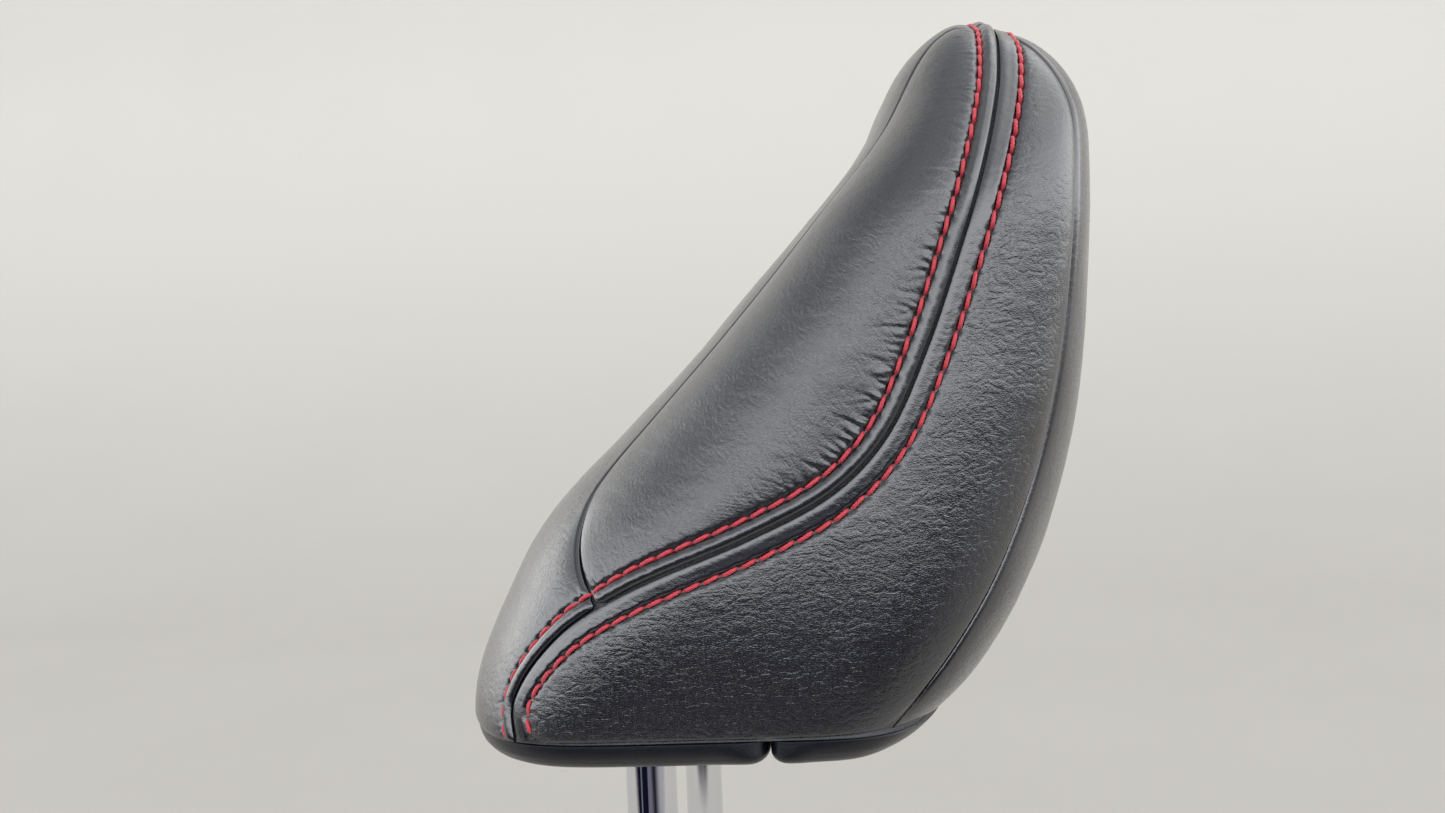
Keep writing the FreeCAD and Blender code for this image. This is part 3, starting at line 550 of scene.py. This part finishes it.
def panel(name, grid, relief, material, node, slot):
    """A closed leather panel: outer face, turned edge and a plainer inner face."""
    rows, columns = grid.shape[:2]
    normal = outward(grid)
    turn = np.cross(np.gradient(grid, axis=0), np.gradient(grid, axis=1))
    flip = (turn * normal).sum() < 0
    height, to_seam = relief(grid, LINES["s"].distance(grid))
    outer = (grid + normal * height[..., None]).reshape(-1, 3)
    few = (grid - normal * LEATHER)[::INNER_STEP, ::INNER_STEP]
    fewer = few.shape[1]
    count = rows * columns
    faces = grid_faces(rows, columns, flip).tolist()
    faces += (grid_faces(*few.shape[:2], not flip) + count).tolist()
    ring = [i * columns + j for i, j in border(rows, columns)]
    low = [count + i // INNER_STEP * fewer + j // INNER_STEP
           for i, j in border(rows, columns, INNER_STEP)]
    for k, (one, two) in enumerate(zip(low, low[1:] + low[:1])):
        above = [ring[(k * INNER_STEP + m) % len(ring)] for m in range(INNER_STEP + 1)]
        face = above + [two, one]
        faces.append(face if flip else face[::-1])
    item = mesh_object(name, np.concatenate([outer, few.reshape(-1, 3)]), faces, material)
    point_value(item, "to_seam", np.append(to_seam, np.full(few.size // 3, FAR_FROM_SEAM)))
    place(item, slot, node, fill=0.9)


# Materials

def new_material(name):
    """A material, its node tree and its shader."""
    material = bpy.data.materials.new(name)
    material.use_nodes = True
    tree = material.node_tree
    return material, tree, tree.nodes["Principled BSDF"]


class Nodes:
    """Short calls for building a node tree."""

    def __init__(self, tree):
        self.tree = tree

    def add(self, kind, settings=(), **inputs):
        item = self.tree.nodes.new(kind)
        for name, value in dict(settings).items():
            setattr(item, name, value)
        for name, value in inputs.items():
            self.put(item.inputs[name.replace("_", " ")], value)
        return item

    def put(self, socket, value):
        if isinstance(value, bpy.types.NodeSocket):
            self.tree.links.new(value, socket)
        else:
            socket.default_value = value

    def place(self, stretch=(1, 1, 1), turn=0):
        """Object coordinates in millimetres, turned about X and then drawn out along each axis."""
        where = self.tree.nodes.new("ShaderNodeTexCoord")
        item = self.tree.nodes.new("ShaderNodeMapping")
        item.vector_type = "TEXTURE"
        item.inputs["Scale"].default_value = [MM * value for value in stretch]
        item.inputs["Rotation"].default_value = (math.radians(turn), 0, 0)
        self.tree.links.new(where.outputs["Object"], item.inputs["Vector"])
        return item.outputs["Vector"]

    def noise(self, vector, scale, detail=2.0, roughness=0.5):
        item = self.add("ShaderNodeTexNoise", Vector=vector, Scale=scale, Detail=detail,
                        Roughness=roughness)
        return item.outputs["Fac"]

    def ridges(self, vector, scale):
        item = self.add("ShaderNodeTexNoise", [("noise_type", "RIDGED_MULTIFRACTAL")], Vector=vector,
                        Scale=scale, Detail=2.0, Roughness=0.5, Offset=1.0, Gain=1.2)
        return item.outputs["Fac"]

    def cells(self, vector, scale, feature="DISTANCE_TO_EDGE"):
        item = self.add("ShaderNodeTexVoronoi", [("feature", feature)], Vector=vector, Scale=scale)
        return item.outputs["Distance"]

    def math(self, kind, a, b=0.0, clamp=False):
        item = self.tree.nodes.new("ShaderNodeMath")
        item.operation, item.use_clamp = kind, clamp
        self.put(item.inputs[0], a)
        self.put(item.inputs[1], b)
        return item.outputs[0]

    def spread(self, value, low, high, to_low=0.0, to_high=1.0):
        """A soft step between two levels of a value."""
        item = self.add("ShaderNodeMapRange", [("interpolation_type", "SMOOTHSTEP")])
        for name, part in (("Value", value), ("From Min", low), ("From Max", high),
                           ("To Min", to_low), ("To Max", to_high)):
            self.put(item.inputs[name], part)
        return item.outputs["Result"]

    def wobble(self, vector, scale, amount):
        """Coordinates moved about by noise."""
        colour = self.add("ShaderNodeTexNoise", Vector=vector, Scale=scale, Detail=2.0).outputs["Color"]
        shift = self.tree.nodes.new("ShaderNodeVectorMath")
        shift.operation = "MULTIPLY_ADD"
        self.put(shift.inputs[0], colour)
        shift.inputs[1].default_value = (amount,) * 3
        self.put(shift.inputs[2], vector)
        return shift.outputs["Vector"]

    def mix(self, share, one, two):
        item = self.tree.nodes.new("ShaderNodeMix")
        item.data_type = "RGBA"
        self.put(item.inputs["Factor"], share)
        self.put(item.inputs["A"], one)
        self.put(item.inputs["B"], two)
        return item.outputs["Result"]

    def bump(self, height, strength, distance):
        item = self.add("ShaderNodeBump", Strength=strength, Distance=distance * MM, Height=height)
        return item.outputs["Normal"]


def rgb(red, green, blue):
    """A colour given as its eight bit values on the screen."""
    def straight(value):
        value /= 255
        return value / 12.92 if value <= 0.04045 else ((value + 0.055) / 1.055) ** 2.4
    return [straight(red), straight(green), straight(blue), 1]


def leather(name, stretch, turn, size, crease, depth, roughness, shine=1):
    """Grained leather: wrinkles of a size, small pebbles between them and fine pores.

    The grain is drawn out and turned, and is weaker on the welts beside the seams.
    """
    material, tree, shader = new_material(name)
    n = Nodes(tree)
    spot = n.place()
    drawn = n.wobble(n.place(stretch, turn), 0.25 / size, size * 0.8)
    wrinkles = n.spread(n.ridges(drawn, 0.42 / size), 0.5, 1.3)
    pebbles = n.spread(n.cells(drawn, 1.6 / size), 0.0, 0.3)
    patchy = n.spread(n.noise(spot, 0.07, 3), 0.3, 0.7, 0.55, 1.0)
    pores = n.noise(spot, 2.6, 4, 0.6)
    height = n.math("ADD", n.math("MULTIPLY", pebbles, 0.45), n.math("MULTIPLY", pores, 0.25))
    height = n.math("SUBTRACT", height, n.math("MULTIPLY", n.math("MULTIPLY", wrinkles, patchy), crease))
    welt = n.add("ShaderNodeAttribute", [("attribute_name", "to_seam")]).outputs["Fac"]
    height = n.math("MULTIPLY", height, n.spread(welt, 4.5, 9.0, 0.3, 1.0))
    surface = n.bump(height, 1.0, depth)
    n.put(shader.inputs["Normal"], surface)
    n.put(shader.inputs["Coat Normal"], surface)
    cloud = n.noise(spot, 0.03, 4)
    colour = n.mix(cloud, rgb(5, 6, 14), rgb(10, 12, 23))
    # Darker in the wrinkles: painted shade in the crease valleys
    colour = n.mix(n.math("MULTIPLY", wrinkles, 0.6), colour, rgb(2, 3, 8))
    n.put(shader.inputs["Base Color"], colour)
    rough = n.math("ADD", n.spread(pebbles, 0, 1, roughness + 0.08, roughness),
                   n.math("MULTIPLY", n.math("SUBTRACT", pores, 0.5), 0.14))
    rough = n.math("SUBTRACT", rough, n.spread(welt, 4.0, 6.0, 0.05, 0.0))
    n.put(shader.inputs["Roughness"], rough)
    shader.inputs["Specular IOR Level"].default_value = shine
    shader.inputs["Coat Weight"].default_value = 0.5 * shine
    shader.inputs["Coat Roughness"].default_value = 0.2
    return material


def thread():
    """Red sewing thread with fine fibres."""
    material, tree, shader = new_material("red_thread")
    n = Nodes(tree)
    spot = n.place()
    fibre = n.noise(spot, 7.0, 3, 0.6)
    colour = n.mix(n.spread(fibre, 0.35, 0.7), rgb(158, 22, 36), rgb(216, 62, 76))
    n.put(shader.inputs["Base Color"], colour)
    n.put(shader.inputs["Roughness"], n.spread(fibre, 0.2, 0.8, 0.45, 0.62))
    n.put(shader.inputs["Normal"], n.bump(fibre, 0.5, 0.05))
    shader.inputs["Sheen Weight"].default_value = 0.25
    return material


def chrome():
    """Chromed tube with faint drawing lines along its length."""
    material, tree, shader = new_material("chromed_tube")
    n = Nodes(tree)
    drawn = n.place((1, 1, 25))
    fine = n.noise(drawn, 4.8, 4, 0.6)
    haze = n.noise(n.place(), 0.05, 3)
    n.put(shader.inputs["Base Color"], n.mix(haze, rgb(218, 220, 226), rgb(232, 232, 233)))
    n.put(shader.inputs["Roughness"], n.spread(fine, 0.3, 0.8, 0.045, 0.1))
    n.put(shader.inputs["Normal"], n.bump(fine, 0.06, 0.02))
    shader.inputs["Metallic"].default_value = 1
    return material


def plastic(name, one, two, roughness):
    """Moulded plastic with a fine eroded surface."""
    material, tree, shader = new_material(name)
    n = Nodes(tree)
    spot = n.place()
    spark = n.noise(spot, 3.2, 3, 0.6)
    n.put(shader.inputs["Base Color"], n.mix(n.noise(spot, 0.06, 3), rgb(*one), rgb(*two)))
    n.put(shader.inputs["Roughness"], n.spread(spark, 0.2, 0.8, roughness, roughness + 0.14))
    n.put(shader.inputs["Normal"], n.bump(spark, 0.25, 0.05))
    return material


def steel():
    material, tree, shader = new_material("screw_steel")
    n = Nodes(tree)
    spot = n.place()
    worn = n.noise(spot, 1.4, 4, 0.6)
    n.put(shader.inputs["Base Color"], n.mix(worn, rgb(150, 150, 146), rgb(186, 184, 176)))
    n.put(shader.inputs["Roughness"], n.spread(worn, 0.2, 0.8, 0.25, 0.42))
    n.put(shader.inputs["Normal"], n.bump(worn, 0.2, 0.04))
    shader.inputs["Metallic"].default_value = 1
    return material


def foam_material():
    material, tree, shader = new_material("moulded_foam")
    n = Nodes(tree)
    spot = n.place()
    open_cells = n.cells(spot, 1.3, "F1")
    skin_like = n.noise(spot, 0.12, 3)
    n.put(shader.inputs["Base Color"], n.mix(skin_like, rgb(74, 74, 77), rgb(98, 98, 100)))
    n.put(shader.inputs["Roughness"], n.spread(open_cells, 0, 0.7, 0.95, 0.8))
    n.put(shader.inputs["Normal"], n.bump(open_cells, 0.7, 0.25))
    return material


SIDE_LEATHER = leather("cover_leather", stretch=(1, 1.7, 1), turn=0, size=0.75, crease=1.1,
                       depth=0.05, roughness=0.23)
BOLSTER_LEATHER = leather("bolster_leather", stretch=(1, 1, 1.8), turn=-30, size=0.62, crease=0.8,
                          depth=0.05, roughness=0.27)
FLAP_LEATHER = leather("flap_leather", stretch=(1, 1, 1), turn=0, size=0.6, crease=0.7,
                       depth=0.03, roughness=0.3, shine=0.4)
THREAD_RED = thread()
CHROME = chrome()
COLLAR_PLASTIC = plastic("collar_plastic", (26, 26, 28), (36, 36, 38), 0.38)
CARRIER_PLASTIC = plastic("carrier_plastic", (34, 35, 36), (48, 48, 49), 0.5)
CLOSURE_PLASTIC = plastic("closure_plastic", (20, 20, 22), (30, 30, 32), 0.45)
SCREW_STEEL = steel()
FOAM = foam_material()

for material, nodes in ((CHROME, ["post_frame"]),
                        (COLLAR_PLASTIC, ["collar_left", "collar_right"]),
                        (CARRIER_PLASTIC, ["carrier_rear", "carrier_front"]),
                        (CLOSURE_PLASTIC, ["closure_rear", "closure_front"]),
                        (SCREW_STEEL, [f"carrier_screw_{k}" for k in range(1, 5)])):
    for node in nodes:
        for slot in NODES[node].material_slots:
            slot.material = material


# The camera

def make_camera():
    data = bpy.data.cameras.new("camera")
    data.sensor_width = SENSOR
    data.lens = SENSOR * FOCAL_PIXELS / PHOTO_WIDTH
    data.clip_start, data.clip_end = 0.01, 60
    item = new_object("camera", data)
    yaw, tilt = math.radians(CAMERA_YAW), math.radians(CAMERA_TILT)
    forward = Vector((math.cos(yaw), math.sin(yaw), 0))
    right, up = Vector((math.sin(yaw), -math.cos(yaw), 0)), Vector((0, 0, 1))
    across = right * math.cos(tilt) - up * math.sin(tilt)
    rise = right * math.sin(tilt) + up * math.cos(tilt)
    turn = Matrix((across, rise, -forward)).transposed().to_4x4()
    item.matrix_world = Matrix.Translation(CAMERA_PLACE) @ turn
    bpy.context.scene.camera = item


# The leather cover

def cover_grids():
    """Points of the skin for each leather panel, those of the sides for the left one."""
    rear_s, front_s = beside(s_seam, GAP), beside(s_seam, -GAP)
    grids = {}
    grids["side"] = patch(part_of(front_s, 0, FACE_SHARE * PANEL_TIP),
                          part_of(beside(face_seam, GAP), 0, PANEL_TIP), None, None,
                          crowd(91, 0.7), np.linspace(0, 1, 673))
    tip = JOIN_SHARE + (BACK_SHARE - JOIN_SHARE) * PANEL_TIP
    grids["bolster"] = patch(part_of(rear_s, JOIN_SHARE + 0.003, tip),
                             part_of(beside(back_seam, -GAP), 0.008, PANEL_TIP), None, None,
                             crowd(73, 0.7), crowd(601, 0.2))
    lower, upper = part_of(rear_s, 0, JOIN_SHARE - 0.0015), part_of(beside(back_seam, GAP), 0.004, 1)

    def back_edge(shares):
        shares = np.asarray(shares)
        low = lower(np.minimum(shares / BELOW_JOIN, 1))
        high = upper(np.maximum((shares - BELOW_JOIN) / (1 - BELOW_JOIN), 0))
        return np.where((shares < BELOW_JOIN)[:, None], low, high)

    grids["back"] = patch(back_edge, mirror(back_edge), None, part_of(rear_s, BACK_SHARE, 1 - BACK_SHARE),
                          crowd(151, 0.7), crowd(361, 0.35))
    face_edge = beside(face_seam, -GAP)
    grids["front"] = patch(face_edge, mirror(face_edge), None, part_of(front_s, FACE_SHARE, 1 - FACE_SHARE),
                           crowd(151, 0.7), crowd(241, 0.5))
    return grids


def make_cover():
    grids = cover_grids()
    for k, (side, sign) in enumerate((("left", 1), ("right", -1))):
        flip = (sign, 1, 1)
        panel(f"leather_side_{side}", grids["side"] * flip,
              Relief(10 + 40 * k, -1, [f"face_{side}"], True, 0.3, SIDE_FOLDS),
              SIDE_LEATHER, f"cover_side_{side}", "cover_leather")
        panel(f"leather_bolster_{side}", grids["bolster"] * flip,
              Relief(20 + 40 * k, 1, [f"back_{side}"], False, 0.2, BOLSTER_FOLDS),
              BOLSTER_LEATHER, f"cover_bolster_{side}", "bolster_leather")
    panel("leather_back", grids["back"],
          Relief(100, 1, ["back_left", "back_right"], True, 0.3, SIDE_FOLDS),
          SIDE_LEATHER, "cover_back", "cover_leather")
    panel("leather_front", grids["front"],
          Relief(120, -1, ["face_left", "face_right"], True, 0.3, FRONT_FOLDS),
          SIDE_LEATHER, "cover_front", "cover_leather")


# The top stitching

def stitch(draw, start, end, out, base, crossing, over_hem):
    """Points of one stitch: a slanted, twisted thread that dips into the needle holes at its ends."""
    t = np.linspace(0, 1, RINGS)
    phi = np.linspace(0, 2 * math.pi, TURNS, endpoint=False)
    path = push(start + (end - start) * t[:, None])
    across = np.cross(out, unit(end - start))
    low = sum(plain_sink(LINES[line].distance(path)) for line in crossing)
    if over_hem or path[0, 2] < JOIN_HEIGHT:
        low = low + hem_sink(np.maximum(path[:, 2] - HEM, 0))
    dip = DIP * np.abs(2 * t - 1) ** DIP_POWER
    lift = base + low + THREAD + CLEARANCE - dip + draw.normal(0, LIFT_SPREAD)
    slant = SLANT + draw.normal(0, SLANT_SPREAD)
    path = path + out * lift[:, None] + across * (slant * (2 * t - 1))[:, None]
    twist = 2 * math.pi * t * PITCH / STRAND_TWIST + draw.uniform(0, 2 * math.pi)
    strands = np.abs(np.cos(STRANDS / 2 * (phi[None] - twist[:, None])))
    radius = THREAD * (1 - STRAND_DEPTH + STRAND_DEPTH * strands)
    radius[[0, -1]] *= END_WIDTH
    heading = unit(np.gradient(path, axis=0))
    up = unit(out - heading * (heading @ out)[:, None])
    beam = np.cross(up, heading)
    ring = (path[:, None] + up[:, None] * (radius * np.sin(phi))[..., None]
            + beam[:, None] * (radius * np.cos(phi))[..., None])
    return ring.reshape(-1, 3)


def stitch_faces(start):
    i, j = np.meshgrid(np.arange(RINGS - 1), np.arange(TURNS), indexing="ij")
    a, b = start + i * TURNS + j, start + i * TURNS + (j + 1) % TURNS
    faces = np.stack([a, b, b + TURNS, a + TURNS], -1).reshape(-1, 4).tolist()
    last = start + (RINGS - 1) * TURNS
    return faces + [list(range(start, start + TURNS))[::-1], list(range(last, last + TURNS))]


def make_stitches():
    for name, side, edge, row, limit, crossing in (
            ("rear", 1, rear_edge, REAR_ROW, BACK_SEAM_TOP, ("back_left", "back_right")),
            ("front", -1, front_edge, FRONT_ROW, FACE_SEAM_TOP, ("face_left", "face_right"))):
        at, normal = HOLES[side][:2]
        draw = np.random.default_rng(500 + side)
        base = float(edge(np.array([row]))[0])
        groups = {"left": [], "top": [], "right": []}
        for k, x in enumerate((at[:-1, 0] + at[1:, 0]) / 2):
            groups["top" if abs(x) < limit else "left" if x < 0 else "right"].append(k)
        for part, members in groups.items():
            points, faces = [], []
            for k in members:
                faces += stitch_faces(len(points) * RINGS * TURNS)
                out = unit(normal[k] + normal[k + 1])
                points.append(stitch(draw, at[k], at[k + 1], out, base, crossing, side < 0))
            item = mesh_object(f"thread_{name}_{part}", np.concatenate(points), faces, THREAD_RED)
            place(item, "red_thread", f"stitch_{name}_{part}")


# The flaps under the head

def closed_resample(points, spacing):
    """Evenly spaced points of a closed loop."""
    loop = np.concatenate([points, points[:1]])
    marks = marks_of(loop)
    count = int(marks[-1] / spacing)
    places = np.arange(count) * marks[-1] / count
    return np.stack([np.interp(places, marks, axis) for axis in loop.T], -1)


def flap_outline(side):
    """The flap's outline at its widest, as x and y."""
    edge = NOTCH + side * NOTCH_HALF
    turn = np.linspace(0, math.pi, 240)
    way = np.stack([-np.cos(turn), side * np.sin(turn), np.zeros_like(turn)], -1)
    start = np.broadcast_to(np.array([0, edge, HEM]), way.shape)
    arc = reach(start, way * HALF_WIDTH)
    normal = outward(arc) * (1, 1, 0)
    arc = arc - unit(normal) * FLAP_INSET
    arc = arc[(arc[:, 1] - edge) * side > 1.0]
    line = np.linspace(arc[-1], arc[0], 160)[1:-1]
    line[:, 1] = edge
    loop = closed_resample(np.concatenate([arc, line])[:, :2], FLAP_SPACING)
    for _ in range(FLAP_SMOOTHINGS):
        loop = loop / 2 + (np.roll(loop, 1, 0) + np.roll(loop, -1, 0)) / 4
    return loop


def drawn_in(ring, middle, number):
    """Copies of a ring that are drawn in evenly towards the middle."""
    copies = []
    for share in np.linspace(0, 1, number)[1:-1]:
        copy = ring.copy()
        copy[:, :2] = middle + (ring[:, :2] - middle) * (1 - share)
        copies.append(copy)
    return copies


def flap_rings(side):
    """The flap's rings of points from the middle of its top over its rounded edge to the middle below."""
    loop = flap_outline(side)
    along = unit(np.roll(loop, -1, 0) - np.roll(loop, 1, 0))
    inwards = np.stack([-along[:, 1], along[:, 0]], -1)
    middle = loop.mean(0)
    if (inwards * (middle - loop)).sum() < 0:
        inwards = -inwards
    near_notch = smooth(1 - np.abs(loop[:, 1] - NOTCH) / 12)
    loop[:, 1] -= NOTCH_WAVE * np.sin(loop[:, 0] / 21) * near_notch
    by_notch = smooth(1.3 - np.abs(loop[:, 1] - NOTCH) / 10)
    face_lean = FACE_LEAN if side < 0 else 0
    points = []
    for height in FLAP_HEIGHT * (1 + np.cos(np.linspace(0, math.pi, EDGE_RINGS))) / 2:
        outer = FLAP_ROUND * (1 - math.sqrt(1 - (1 - height / FLAP_HEIGHT) ** 2))
        inner = FLAP_ROUND * (1 - math.sqrt(1 - max(1 - height / NOTCH_HEIGHT, 0) ** 2))
        lean = np.maximum(inwards[:, 1], 0) * (FLAP_HEIGHT - height) * face_lean
        inset = outer + (inner - outer) * by_notch + lean
        points.append(np.column_stack([loop + inwards * inset[:, None], np.full(len(loop), height)]))
    over = drawn_in(points[0], middle, TOP_RINGS)
    under = drawn_in(points[-1], middle, UNDER_RINGS)
    return np.stack(over[::-1] + points + under), middle


def flap_mesh(name, side):
    rings, middle = flap_rings(side)
    wave = Noise(300 + side)
    (broad, broad_depth), (fine, fine_depth) = FLAP_WAVES
    relief = wave(rings / broad) * broad_depth + wave(rings / fine + 7) * fine_depth
    window = smooth((FLAP_HEIGHT - rings[..., 2]) / PAD_HEIGHT) * (rings[..., 2] < PAD_HEIGHT)
    rings[..., 2] += (UNDERSIDE + relief) * window
    number, count = rings.shape[:2]
    ends = [np.array([*middle, FLAP_HEIGHT]), np.array([*middle, 0.25])]
    points = np.concatenate([rings.reshape(-1, 3), ends])
    i, j = np.meshgrid(np.arange(number - 1), np.arange(count), indexing="ij")
    a, b = i * count + j, i * count + (j + 1) % count
    faces = np.stack([a, a + count, b + count, b], -1).reshape(-1, 4).tolist()
    first, last = len(points) - 2, (number - 1) * count
    faces += [[k, (k + 1) % count, first] for k in range(count)]
    faces += [[last + k, first + 1, last + (k + 1) % count] for k in range(count)]
    item = mesh_object(name, points, faces, FLAP_LEATHER)
    fix = bmesh.new()
    fix.from_mesh(item.data)
    bmesh.ops.recalc_face_normals(fix, faces=fix.faces)
    fix.to_mesh(item.data)
    fix.free()
    return item


def cut_hole(item, x, radius, high):
    """Cut a round hole from below the head up to a height into a mesh."""
    low = -3
    tool_mesh = bpy.data.meshes.new("tool")
    shape = bmesh.new()
    bmesh.ops.create_cone(shape, cap_ends=True, segments=72, radius1=radius * MM, radius2=radius * MM,
                          depth=(high - low) * MM,
                          matrix=Matrix.Translation((x * MM, 0, (low + high) / 2 * MM)))
    shape.to_mesh(tool_mesh)
    shape.free()
    tool = new_object("tool", tool_mesh)
    step = item.modifiers.new("hole", "BOOLEAN")
    step.operation, step.object, step.solver = "DIFFERENCE", tool, "EXACT"
    cut = item.evaluated_get(bpy.context.evaluated_depsgraph_get())
    done = bpy.data.meshes.new_from_object(cut)
    item.modifiers.clear()
    item.data = done
    bpy.data.objects.remove(tool)


def make_flaps():
    rear = flap_mesh("flap_pad_rear", 1)
    for x in (-POST_X, POST_X):
        cut_hole(rear, x, RECESS_RADIUS, RECESS_TOP)
        cut_hole(rear, x, HOLE_RADIUS, HOLE_TOP)
    front = flap_mesh("flap_pad_front", -1)
    for item, node in ((rear, "flap_rear"), (front, "flap_front")):
        point_value(item, "to_seam", np.full(len(item.data.vertices), FAR_FROM_SEAM))
        place(item, "flap_leather", node, fill=0.6)


# The foam, hidden by the cover

def make_foam():
    """The CAD's foam, sunk a little and unevenly."""
    mesh = NODES["foam_body"].data.copy()
    item = new_object("foam_core", mesh)
    mesh.materials.clear()
    mesh.materials.append(FOAM)
    points, normals = np.empty((2, len(mesh.vertices) * 3))
    mesh.vertices.foreach_get("co", points)
    mesh.vertices.foreach_get("normal", normals)
    points, normals = points.reshape(-1, 3), normals.reshape(-1, 3)
    depth = (Noise(900)(points / MM / 6) + 1) * 0.06 * MM
    mesh.vertices.foreach_set("co", (points - normals * depth[:, None]).ravel())
    place(item, "foam", "foam_body", fill=1.0)


# Stage and light

def stage_material():
    """Pale paper that keeps shadows and partly shines for the camera; its outer parts only the camera sees.

    From behind or below the camera looks through it.
    """
    material, tree, shader = new_material("backdrop_paper")
    n = Nodes(tree)
    fleck = n.noise(n.place(), 0.004, 3)
    spot = n.add("ShaderNodeSeparateXYZ", Vector=n.place()).outputs
    # Darker on the floor and lighter up the backdrop: painted shade and light graded by height
    tone = n.mix(n.spread(spot["Z"], -200, 900), rgb(188, 185, 179), rgb(215, 212, 206))
    tone = n.mix(n.math("MULTIPLY", fleck, 0.3), tone, rgb(204, 201, 195))
    n.put(shader.inputs["Base Color"], tone)
    n.put(shader.inputs["Roughness"], n.spread(fleck, 0, 1, 0.85, 0.95))
    shader.inputs["Specular IOR Level"].default_value = 0.2
    rays = n.add("ShaderNodeLightPath").outputs
    seen = n.math("ADD", rays["Is Camera Ray"], rays["Is Glossy Ray"])
    seen = n.math("ADD", seen, rays["Is Transmission Ray"], clamp=True)
    glow = n.add("ShaderNodeEmission", Color=tone)
    blend = n.add("ShaderNodeMixShader", Fac=n.math("MULTIPLY", seen, 0.6))
    tree.links.new(shader.outputs["BSDF"], blend.inputs[1])
    tree.links.new(glow.outputs["Emission"], blend.inputs[2])
    outer = n.math("MAXIMUM", n.spread(spot["X"], -220, -380), n.spread(spot["Y"], 1900, 2100))
    hide = n.math("MULTIPLY", outer, n.math("SUBTRACT", 1.0, rays["Is Camera Ray"]))
    behind = n.add("ShaderNodeNewGeometry").outputs["Backfacing"]
    hide = n.math("MAXIMUM", hide, n.math("MULTIPLY", behind, rays["Is Camera Ray"]))
    whole = n.add("ShaderNodeMixShader", Fac=hide)
    tree.links.new(blend.outputs["Shader"], whole.inputs[1])
    tree.links.new(n.add("ShaderNodeBsdfTransparent").outputs["BSDF"], whole.inputs[2])
    tree.links.new(whole.outputs["Shader"], tree.nodes["Material Output"].inputs["Surface"])
    return material


def make_stage():
    """A floor that sweeps up into a backdrop behind the object."""
    floor, near, wall, bend, top = -0.1702, -4.0, 2.4, 1.2, 3.0
    ends = (-4.0, 4.0)
    profile = [(near, floor), (wall - bend, floor)]
    for angle in np.linspace(0, math.pi / 2, 24)[1:]:
        profile.append((wall - bend + bend * math.sin(angle), floor + bend * (1 - math.cos(angle))))
    profile.append((wall, top))
    points = [(x / MM, y / MM, z / MM) for y in ends for x, z in profile]
    count = len(profile)
    faces = [[k, k + 1, count + k + 1, count + k] for k in range(count - 1)]
    item = mesh_object("backdrop", points, faces, stage_material())


def make_lamp():
    """A wide, soft lamp above the head."""
    data = bpy.data.lights.new("light_above", "AREA")
    data.shape = "RECTANGLE"
    data.size, data.size_y = 1.4, 1.4
    data.energy = 2.5
    item = new_object("light_above", data)
    where, target = Vector((-0.5, 0.1, 1.4)), Vector((0, -0.04, 0.05))
    item.location = where
    item.rotation_euler = (target - where).to_track_quat("-Z", "Y").to_euler()


def make_world():
    """Soft light, strongest from the sides, less from above the front and little from below.

    The noise below stands for the uneven dark room that the lower part of the head reflects.
    """
    world = bpy.data.worlds.new("studio")
    bpy.context.scene.world = world
    world.use_nodes = True
    n = Nodes(world.node_tree)
    shade = world.node_tree.nodes["Background"]
    generated = n.add("ShaderNodeTexCoord").outputs["Generated"]
    way = n.add("ShaderNodeSeparateXYZ", Vector=generated).outputs
    sides = n.mix(n.spread(way["X"], -0.3, 0.6), [3.3, 3.4, 3.55, 1], [2.5, 2.49, 2.45, 1])
    top = n.mix(n.spread(way["Y"], -0.4, 0.05), [2.0, 2.02, 2.06, 1], [0.5, 0.52, 0.55, 1])
    upper = n.mix(n.spread(way["Z"], 0.15, 0.65), sides, top)
    plan = n.add("ShaderNodeCombineXYZ", X=way["X"], Y=way["Y"]).outputs["Vector"]
    cool, warm = n.spread(n.noise(plan, 2.6, 1), 0.54, 0.6), n.spread(n.noise(plan, 4.1, 1), 0.58, 0.64)
    below = n.mix(cool, [0.004, 0.005, 0.02, 1], [0.17, 0.16, 0.2, 1])
    below = n.mix(warm, below, [0.1, 0.06, 0.04, 1])
    below = n.mix(n.spread(way["Y"], -0.75, -0.3), [0.4, 0.4, 0.42, 1], below)
    around = n.mix(n.spread(way["Z"], -0.12, 0.09), below, upper)
    ray = n.add("ShaderNodeLightPath").outputs["Is Camera Ray"]
    n.put(shade.inputs["Color"], n.mix(ray, around, rgb(228, 225, 219)))
    shade.inputs["Strength"].default_value = 1


make_camera()
make_cover()
make_stitches()
make_flaps()
make_foam()
make_stage()
make_world()
make_lamp()

bpy.context.scene.view_settings.view_transform = "Standard"
